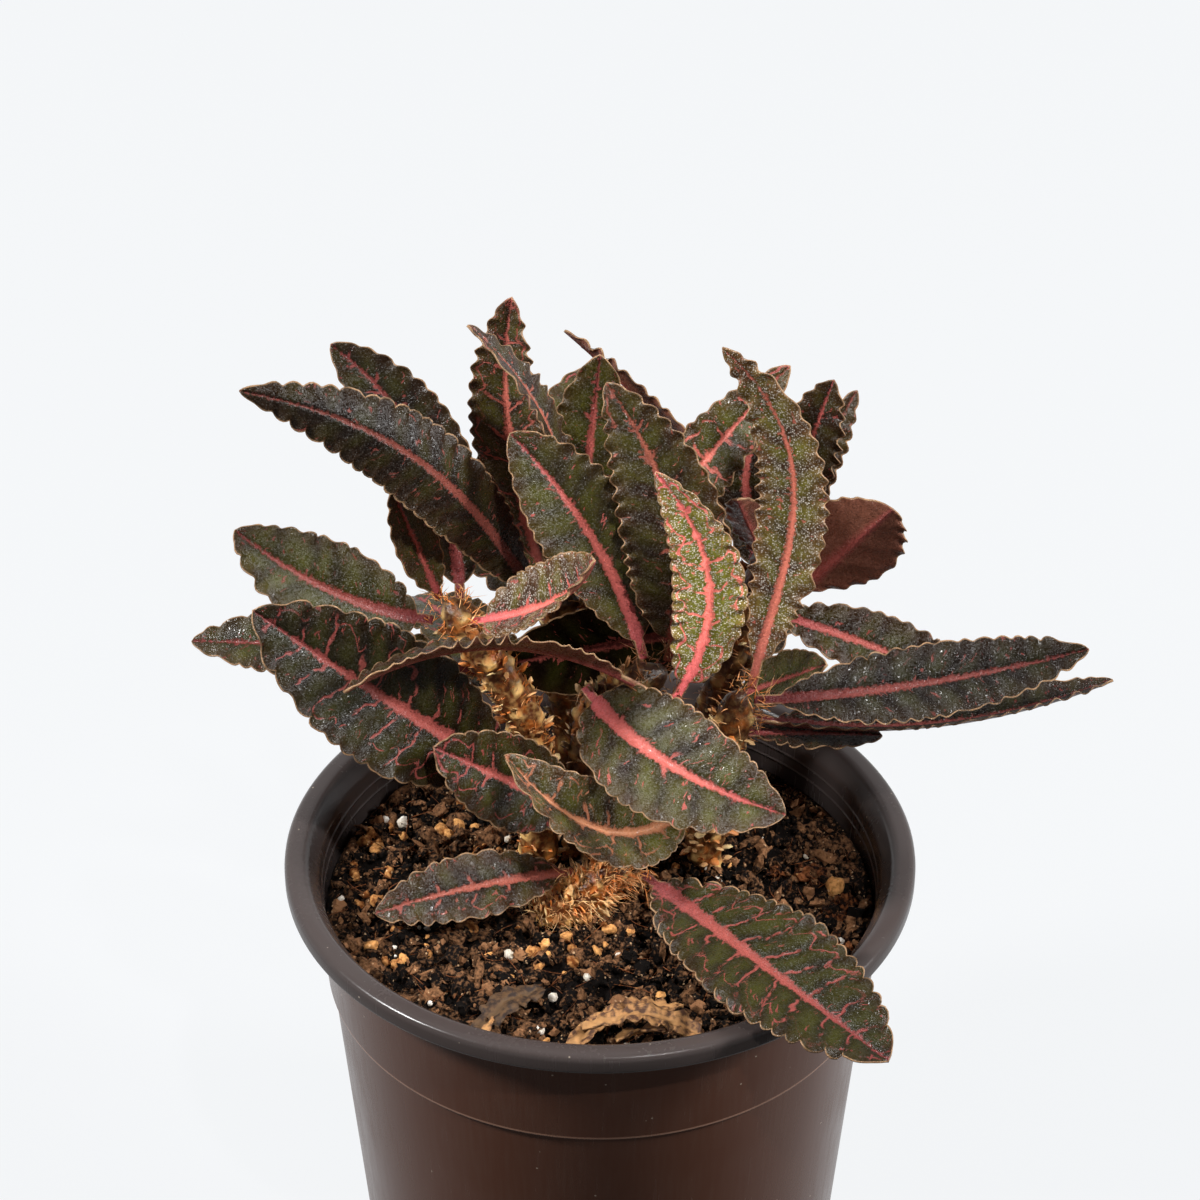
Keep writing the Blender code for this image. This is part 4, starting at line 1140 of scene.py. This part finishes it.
def make_grains(look):
    """What lies in the soil: clay and perlite grains, fibrous clods and loose fibres."""
    rng = np.random.default_rng(47)
    # Clay grains are thickest round a place 22 mm to the left, and keep 2.5 mm off the soil's edge
    grain = earth_material("calcined_clay_grain", look.grain_dark, look.grain, 0.85, look.grain_pale, 0.7)
    left = soil_places(look.grains, rng, 0.55, (-22.0, 0.0))
    wide = soil_places(look.grains // 3, rng)
    places = np.concatenate([left, wide])
    places = places[np.hypot(places[:, 0], places[:, 1]) < soil_radius(SOIL_LEVEL) - 2.5]
    sizes = rng.uniform(0.4, 1.15, len(places)) * rng.choice([1.0, 1.0, 1.4], len(places))
    grid = lumps(places + np.array([0, 0, 0.4]) * sizes[:, None], sizes, rng, 6, 9, 0.16)
    grid = grid + 0.35 * np.stack([noise(grid, 0.9, 15 + step) for step in range(3)], axis=-1)
    add_piece("clay_grains", grid, grain, "soil_mix", shade=rng.uniform(0, 1, len(places)))
    # Of the white grains, one in four is nearly twice as large
    chalk = earth_material("perlite_grain", look.perlite_dark, look.perlite, 0.8, look.perlite, 0.5)
    places = soil_places(look.perlite_count, rng)
    sizes = rng.uniform(0.3, 0.9, len(places)) * rng.choice([1.0, 1.0, 1.0, 1.9], len(places))
    grid = lumps(places + np.array([0, 0, 0.8]) * sizes[:, None], sizes, rng, 5, 8, 0.2)
    add_piece("perlite_grains", grid, chalk, "soil_mix", shade=rng.uniform(0.3, 1, len(places)))
    # Clods lie in two groups at the right, the second nearer to the front, and keep 4.5 mm off the edge
    fibrous = earth_material("coir_clod", look.clod_dark, look.clod, 0.95, look.grain, 0.6)
    middles = np.concatenate([soil_places(look.clods, rng, 0.36, (32.0, -6.0)),
                              soil_places(look.clods // 2, rng, 0.3, (28.0, -26.0))])
    middles = middles[np.hypot(middles[:, 0], middles[:, 1]) < soil_radius(SOIL_LEVEL) - 4.5]
    places, sizes = clusters(middles, rng.uniform(1.6, 3.6, len(middles)), look.clod_crumbs, rng)
    grid = lumps(places, sizes, rng, rough=0.45)
    add_piece("coir_clods", grid, fibrous, "soil_mix", faceted=True,
              shade=rng.uniform(0, 1, len(places)) ** 1.5)
    # Loose fibres of 2 to 7 mm lie almost flat
    feet = soil_places(look.fibres, rng)
    heads = unit(rng.normal(size=feet.shape) * np.array([1, 1, 0.35]))
    lengths = rng.uniform(2.0, 7.0, look.fibres)
    grid = strands(feet + np.array([0, 0, 0.6]), heads, lengths, rng, FIBRE_RADIUS, 0.1)
    add_piece("coir_fibres", grid, fibrous, "soil_mix", shade=rng.uniform(0.4, 1.0, look.fibres))


# Fallen leaf remains on the soil: the foot and the shape of each, and the node that it belongs to
REMAINS = [
    ("fork_long", "fork", (-6, -44, 82.2),
     Leaf("front", 0, 0, (14, -31, 82.4), 4.5, (0, 0, 1), bow=1.5, sweep=3, fold=15, crisp=0.5)),
    ("fork_short", "fork", (3, -40.5, 83.4),
     Leaf("front", 0, 0, (16, -38.5, 84.0), 3.6, (0, 0.2, 1), bow=1.0, fold=18, crisp=0.4)),
    ("crimped", "crimped", (-2, -41, 86.2),
     Leaf("front", 0, 0, (19, -44, 83.6), 5, (0, 0, 1), bow=2.5, sweep=3, fold=15, crisp=0.7, tone=0.85)),
    ("dark", "dark", (-21, -38, 80.8),
     Leaf("front", 0, 0, (-9, -26, 81.0), 6, (0, 0, 1), bow=2, sweep=1, fold=15, crisp=0.6, tone=0.2)),
    ("scrap", "dark", (-20, -43, 82.0),
     Leaf("front", 0, 0, (-18, -34, 82.6), 2.4, (0, 0, 1), bow=1, fold=10, crisp=0.3)),
]


def dry_material(look):
    """Dead leaf: papery and matt, tan on the ridges and painted brown in the creases as painted shade, with
    a pale rib.
    """
    material, put, shader = new_material("dry_leaf_paper", roughness=0.72, ior=1.45)
    place = put("TexCoord").outputs["Object"]
    blade = put("Attribute", attribute_name="blade_place").outputs["Vector"]
    rib = put("SeparateXYZ", blade).outputs["X"]
    # The creases are about 1 mm apart, and the same noise that sinks them paints them brown, as painted
    # shade
    crease = put("TexNoise", place, 1 / (1.0 * MM), 6.0)
    share = put("MapRange", crease, 0.4, 0.62)
    mark = put("Attribute", attribute_name="blade_mark").outputs["Vector"]
    tone = put("SeparateXYZ", mark).outputs["Y"]
    colour = put("Mix", share, look.crease, look.paper, data_type="RGBA")
    pale = put("MapRange", rib, 0.15, -0.1, 0.0, 0.7)
    colour = put("Mix", pale, colour, look.rib, data_type="RGBA")
    colour = put("VectorMath", colour, tone, operation="SCALE")
    bump = put("Bump", {"Strength": 0.9, "Distance": 0.25 * MM, "Height": crease})
    feed(shader, {"Base Color": colour, "Normal": bump})
    return material


def make_remains(look, blades):
    """The dry leaf remains: blades crumpled by noise of 2.4 mm."""
    paper = dry_material(look)
    for seed, (name, node, foot, shape) in enumerate(REMAINS):
        grid, fields = blade_surface(np.array(foot, float), shape, 60 + seed, blades)
        crumple = np.stack([fractal(grid, 2.4, 70 + 5 * step) for step in range(3)], axis=-1)
        add_piece(f"dry_leaf_{name}_skin", grid + 0.6 * crumple, paper, "dry_leaf", [f"dry_leaf_{node}"],
                  **fields)


def sweep_surface(reach):
    """The studio's sweep: a flat round floor whose rim curves up into a wall, in metres."""
    bend = np.linspace(0, np.pi / 2, 12)
    rim = reach * np.stack([1 + 0.5 * np.sin(bend), 0.5 - 0.5 * np.cos(bend)], axis=-1)
    outline = np.concatenate([[[0.0, 0.0], [reach, 0.0]], rim[1:], [[1.5 * reach, 3 * reach]]])
    return turned(outline, 96)[0]


def hang(lamp, aim, heading, power, distance):
    """An object for a lamp of that power, at a distance from what it is aimed at."""
    lamp.energy = power
    holder = bpy.data.objects.new(lamp.name, lamp)
    holder.location = aim + Vector(heading).normalized() * distance
    holder.rotation_euler = Vector(heading).to_track_quat("Z", "Y").to_euler()
    return holder


def studio_world(look):
    """A room that is brighter behind the plant, with a low pale wall all round.

    The wall shines in the leaves that face the camera, but not in the pot's front.
    """
    world = bpy.data.worlds.new("studio")
    world.use_nodes = True
    put = partial(add, world.node_tree)
    heading = put("TexCoord").outputs["Generated"]
    _, along, height = put("SeparateXYZ", heading).outputs
    strength = put("MapRange", along, -0.3, 0.8, look.front_ambient, look.back_ambient)
    off_wall = put("Math", height, 0.1, operation="ADD")
    off_wall = put("Math", off_wall, operation="ABSOLUTE")
    wall = put("MapRange", off_wall, 0.32, 0.12, 0.0, look.wall_ambient)
    strength = put("Math", strength, wall, operation="ADD")
    feed(world.node_tree.nodes["Background"], {"Color": look.backdrop, "Strength": strength})
    return world


def studio_sweep(look):
    """The pale sweep. It glows by itself, and throws no light on the plant, as only the camera sees it."""
    material, _, shader = new_material("studio_sweep_paper", roughness=0.9, ior=1.45)
    feed(shader, {"Base Color": look.floor, "Emission Color": look.backdrop,
                  "Emission Strength": look.glow})
    rings = sweep_surface(look.floor_size / 2)
    index = np.arange(rings.shape[0] * rings.shape[1]).reshape(rings.shape[:2])
    after = np.roll(index, -1, axis=1)
    quads = np.stack([index[:-1], index[1:], after[1:], after[:-1]], axis=-1).reshape(-1, 4)
    mesh = bpy.data.meshes.new("studio_sweep")
    fill_mesh(mesh, rings.reshape(-1, 3), quads, np.zeros((0, 3), int))
    mesh.materials.append(material)
    floor = bpy.data.objects.new("studio_sweep", mesh)
    floor.visible_diffuse = False
    floor.visible_glossy = False
    return floor


def studio_lights(look):
    """A light on each side, and a spot on the middle of the plant that ends above the pot's wall."""
    lights = []
    for name, heading, power, size in (("key", KEY_HEADING, look.key_power, look.key_size),
                                       ("fill", FILL_HEADING, look.fill_power, look.fill_size)):
        lamp = bpy.data.lights.new(name, "AREA")
        lamp.shape = "DISK"
        lamp.size = size
        lights.append(hang(lamp, AIM, heading, power, look.light_distance))
    lamp = bpy.data.lights.new("spot", "SPOT")
    lamp.shadow_soft_size = look.spot_size / 2
    lamp.spot_size = look.spot_cone
    lamp.spot_blend = look.spot_blend
    return [*lights, hang(lamp, SPOT_AIM, SPOT_HEADING, look.spot_power, look.light_distance)]


def studio_camera(look):
    """The camera, at the photo's place and angle."""
    camera = bpy.data.cameras.new("camera")
    camera.sensor_width = SENSOR
    camera.lens = look.lens
    camera.clip_start = 0.01
    camera.dof.use_dof = False
    holder = bpy.data.objects.new("camera", camera)
    holder.location = CAMERA_PLACE
    holder.rotation_euler = (look.tilt, 0, 0)
    return holder


def make_stage(look):
    """The sweep, the lights, the camera and the room around them."""
    scene = bpy.context.scene
    scene.view_settings.view_transform = "Standard"
    scene.world = studio_world(look)
    scene.camera = studio_camera(look)
    things = [studio_sweep(look), *studio_lights(look), scene.camera]
    for thing in things:
        scene.collection.objects.link(thing)


def colour_prop(name, description, code):
    """A colour property with its default given as an sRGB hex code."""
    return FloatVectorProperty(name=name, description=description, default=linear(code), size=4, min=0,
                               max=1, subtype="COLOR")


def number_prop(name, description, number, low=0, **kind):
    """A number property that is never below low, with its unit or its subtype."""
    return FloatProperty(name=name, description=description, default=number, min=low, **kind)


def length_prop(name, description, millimetres):
    """A length property with its default given in mm."""
    return number_prop(name, description, millimetres * MM, unit="LENGTH")


def factor_prop(name, description, number, low=0):
    """A factor, which has no unit."""
    return number_prop(name, description, number, low, subtype="FACTOR", soft_max=1)


def power_prop(name, description, watts):
    """A light's power."""
    return number_prop(name, description, watts, unit="POWER")


def count_prop(name, description, number):
    """A whole-number property."""
    return IntProperty(name=name, description=description, default=number, min=2)


class PotSettings(bpy.types.PropertyGroup):
    """Colours of the pot."""
    body: colour_prop("Body", "Plastic of the wall", "#523326")
    worn: colour_prop("Worn", "Plastic where the surface is drawn and dusty", "#55392d")
    # Rim also paints the pot's inside darker, as painted shade
    rim: colour_prop("Rim", "Plastic of the lip", "#423a38")
    # Edge is the colour of the painted highlight along the step's lower edge
    edge: colour_prop("Edge", "Rubbed edge of the moulded step", "#8f6c5a")
    dust: colour_prop("Dust", "Pale dust specks", "#b9aa98")


class SoilSettings(bpy.types.PropertyGroup):
    """Colours and amounts of the soil and what lies in it."""
    # Dark also serves as painted shade in the bed's hollows
    dark: colour_prop("Dark", "Peat in the gaps", "#0a0604")
    peat: colour_prop("Peat", "Peat on top", "#8a6142")
    speck: colour_prop("Speck", "Flecks in the peat", "#d2ac84")
    crumbs: count_prop("Crumbs", "How many peat crumbs lie on the bed", 4200)
    chips: count_prop("Chips", "How many bits of bark and coir lie on the bed", 340)
    grain: colour_prop("Grain", "Fired clay grains", "#dca060")
    grain_dark: colour_prop("Grain dark", "Shaded and damp sides of the grains", "#6e3c1a")
    grain_pale: colour_prop("Grain pale", "Pale flecks in the grains", "#e8c898")
    grains: count_prop("Grains", "How many fired clay grains lie on the left half", 90)
    perlite: colour_prop("Perlite", "White grains", "#efe9df")
    perlite_dark: colour_prop("Perlite dark", "Stained sides of the white grains", "#b9a88f")
    perlite_count: count_prop("Perlite grains", "How many white grains", 40)
    clod: colour_prop("Clod", "Fibrous clods", "#8a5230")
    clod_dark: colour_prop("Clod dark", "Gaps in the clods", "#1a0e09")
    clods: count_prop("Clods", "How many fibrous clods lie on the right", 18)
    clod_crumbs: count_prop("Clod crumbs", "How many crumbs make up a clod", 48)
    fibres: count_prop("Fibres", "How many loose fibres lie on the soil", 260)


class StemSettings(bpy.types.PropertyGroup):
    """Colours and relief of the stems and their fibres."""
    # Straw and gap paint the knobs' tops lighter and the gaps darker, partly as painted light and shade
    straw: colour_prop("Straw", "Tops of the leaf scars", "#f6c67c")
    gap: colour_prop("Gap", "Dark gaps between the scars", "#5a2c10")
    rust: colour_prop("Rust", "Rusty patches and fibres", "#dc7a2c")
    gold: colour_prop("Gold", "Golden fibres and scales", "#ffe2a4")
    scar_pitch: length_prop("Scar pitch", "Rise from one scar to the next up the stem", 1.3)
    knob: length_prop("Knob", "Height of a scar's knob", 0.6)
    bristles: count_prop("Bristles", "How many bristles each stem has", 150)
    scales: count_prop("Scales", "How many papery scales each stem has", 260)


class LeafSettings(bpy.types.PropertyGroup):
    """Colours and relief of the living leaves."""
    dark: colour_prop("Dark", "Darkest part of the blade", "#2a1c12")
    green: colour_prop("Green", "Greenest part of the blade", "#4b4a1a")
    bronze: colour_prop("Bronze", "Blade near its margin", "#402a17")
    # Fleck is the pale grains' colour, which also paints a greyish sheen on the strongly lit leaves
    fleck_and_sheen: colour_prop("Fleck", "Pale grains in the skin", "#7d7870")
    pink: colour_prop("Pink", "Ribs and veins of most leaves", "#cb685e")
    tan: colour_prop("Tan", "Ribs of the older leaves", "#b98058")
    rib_edge: colour_prop("Rib edge", "Edges of the ribs", "#733730")
    rib_deep: colour_prop("Rib deep", "Ribs near their foot and tip", "#99434b")
    under: colour_prop("Under", "Maroon underside", "#543527")
    under_pink: colour_prop("Under pink", "Pinker patches of the underside", "#8c5645")
    margin: colour_prop("Margin", "Fine line along the margin", "#9c7a5a")
    row_pitch: length_prop("Row pitch", "Spacing of the mesh along a blade", 0.38)
    wave_scale: factor_prop("Wave scale", "Length of the margin's waves, as a factor", 1.0, 0.3)
    wave_reach: length_prop("Wave reach", "How far the waves reach inwards", 1.35)
    vein_pitch: length_prop("Vein pitch", "Spacing of the side veins", 6.0)
    puff: length_prop("Puff", "How far the blade puffs up between the side veins", 0.25)


class DrySettings(bpy.types.PropertyGroup):
    """Colours of the dry leaf remains."""
    paper: colour_prop("Paper", "Ridges of the dry blade", "#b58350")
    # Crease is the painted shade in the dry blade's creases
    crease: colour_prop("Crease", "Creases of the dry blade", "#51321f")
    rib: colour_prop("Rib", "Rib of the dry blade", "#bd8c56")


class StageSettings(bpy.types.PropertyGroup):
    """The studio: floor, lights and camera."""
    backdrop: colour_prop("Backdrop", "Glow of the floor and the surroundings", "#f5f7f9")
    floor: colour_prop("Floor", "Paper of the sweep", "#2c2c2c")
    glow: factor_prop("Glow", "Strength of the sweep's glow", 0.93)
    front_ambient: factor_prop("Front ambient", "Light from the camera's side", 0.07)
    back_ambient: factor_prop("Back ambient", "Light from behind the plant", 0.8)
    wall_ambient: factor_prop("Wall ambient", "Light from the low wall all round", 0.3)
    floor_size: length_prop("Floor size", "Width of the flat floor", 5000)
    light_distance: length_prop("Light distance", "From the plant to each light", 1200)
    key_power: power_prop("Key power", "Power of the key light", 17)
    key_size: length_prop("Key size", "Width of the key light", 350)
    fill_power: power_prop("Fill power", "Power of the fill light", 18)
    fill_size: length_prop("Fill size", "Width of the fill light", 220)
    spot_power: power_prop("Spot power", "Power of the spot light", 52)
    spot_size: length_prop("Spot size", "Width of the spot light", 70)
    spot_cone: number_prop("Spot cone", "Angle of the spot's cone", np.radians(7.0), subtype="ANGLE")
    spot_blend: factor_prop("Spot blend", "Softness of the cone's edge", 0.7)
    lens: number_prop("Lens", "Focal length", 102.84, 1, unit="CAMERA")
    tilt: number_prop("Tilt", "Camera tilt up from straight down", np.radians(55.655), subtype="ANGLE")


class EUPHORBIA_OT_pot(bpy.types.Operator):
    """Makes the pot, with its drain holes."""
    bl_idname = "euphorbia.pot"
    bl_label = "Make the pot"

    def execute(self, context):
        make_pot(context.scene.euphorbia_pot)
        return {"FINISHED"}


class EUPHORBIA_OT_soil(bpy.types.Operator):
    """Makes the soil bed and its peat crumbs."""
    bl_idname = "euphorbia.soil"
    bl_label = "Make the soil"

    def execute(self, context):
        make_soil(context.scene.euphorbia_soil)
        return {"FINISHED"}


class EUPHORBIA_OT_grains(bpy.types.Operator):
    """Makes what lies in the soil: clay and perlite grains, clods and loose fibres."""
    bl_idname = "euphorbia.grains"
    bl_label = "Make the grains"

    def execute(self, context):
        make_grains(context.scene.euphorbia_soil)
        return {"FINISHED"}


class EUPHORBIA_OT_stems(bpy.types.Operator):
    """Makes the scarred stems, their bristles and their papery scales."""
    bl_idname = "euphorbia.stems"
    bl_label = "Make the stems"

    def execute(self, context):
        make_stems(context.scene.euphorbia_stem)
        return {"FINISHED"}


class EUPHORBIA_OT_leaves(bpy.types.Operator):
    """Makes the living leaves."""
    bl_idname = "euphorbia.leaves"
    bl_label = "Make the leaves"

    def execute(self, context):
        make_leaves(context.scene.euphorbia_leaf)
        return {"FINISHED"}


class EUPHORBIA_OT_remains(bpy.types.Operator):
    """Makes the dry leaf remains on the soil."""
    bl_idname = "euphorbia.remains"
    bl_label = "Make the dry leaves"

    def execute(self, context):
        make_remains(context.scene.euphorbia_dry, context.scene.euphorbia_leaf)
        return {"FINISHED"}


class EUPHORBIA_OT_stage(bpy.types.Operator):
    """Makes the floor, the lights and the camera."""
    bl_idname = "euphorbia.stage"
    bl_label = "Make the stage"

    def execute(self, context):
        make_stage(context.scene.euphorbia_stage)
        return {"FINISHED"}


class EUPHORBIA_PT_panel(bpy.types.Panel):
    """Lists the operators with their settings."""
    bl_idname = "EUPHORBIA_PT_panel"
    bl_label = "Potted euphorbia"
    bl_space_type = "VIEW_3D"
    bl_region_type = "UI"
    bl_category = "Euphorbia"

    def draw(self, context):
        for operators, settings in SECTIONS:
            box = self.layout.box()
            for operator in operators:
                box.operator(operator.bl_idname)
            held = getattr(context.scene, settings)
            for title in held.__annotations__:
                box.prop(held, title)


GROUPS = {
    "euphorbia_pot": PotSettings,
    "euphorbia_soil": SoilSettings,
    "euphorbia_stem": StemSettings,
    "euphorbia_leaf": LeafSettings,
    "euphorbia_dry": DrySettings,
    "euphorbia_stage": StageSettings,
}
SECTIONS = [
    ([EUPHORBIA_OT_pot], "euphorbia_pot"),
    ([EUPHORBIA_OT_soil, EUPHORBIA_OT_grains], "euphorbia_soil"),
    ([EUPHORBIA_OT_stems], "euphorbia_stem"),
    ([EUPHORBIA_OT_leaves], "euphorbia_leaf"),
    ([EUPHORBIA_OT_remains], "euphorbia_dry"),
    ([EUPHORBIA_OT_stage], "euphorbia_stage"),
]
CLASSES = [*GROUPS.values(), *(operator for operators, _ in SECTIONS for operator in operators),
           EUPHORBIA_PT_panel]


def register():
    for kind in CLASSES:
        bpy.utils.register_class(kind)
    for title, group in GROUPS.items():
        setattr(bpy.types.Scene, title, PointerProperty(type=group))


def unregister():
    for title in GROUPS:
        delattr(bpy.types.Scene, title)
    for kind in reversed(CLASSES):
        bpy.utils.unregister_class(kind)


def main():
    """Makes everything in order."""
    register()
    bpy.ops.euphorbia.pot()
    bpy.ops.euphorbia.soil()
    bpy.ops.euphorbia.grains()
    bpy.ops.euphorbia.stems()
    bpy.ops.euphorbia.leaves()
    bpy.ops.euphorbia.remains()
    bpy.ops.euphorbia.stage()


if __name__ == "__main__":
    main()
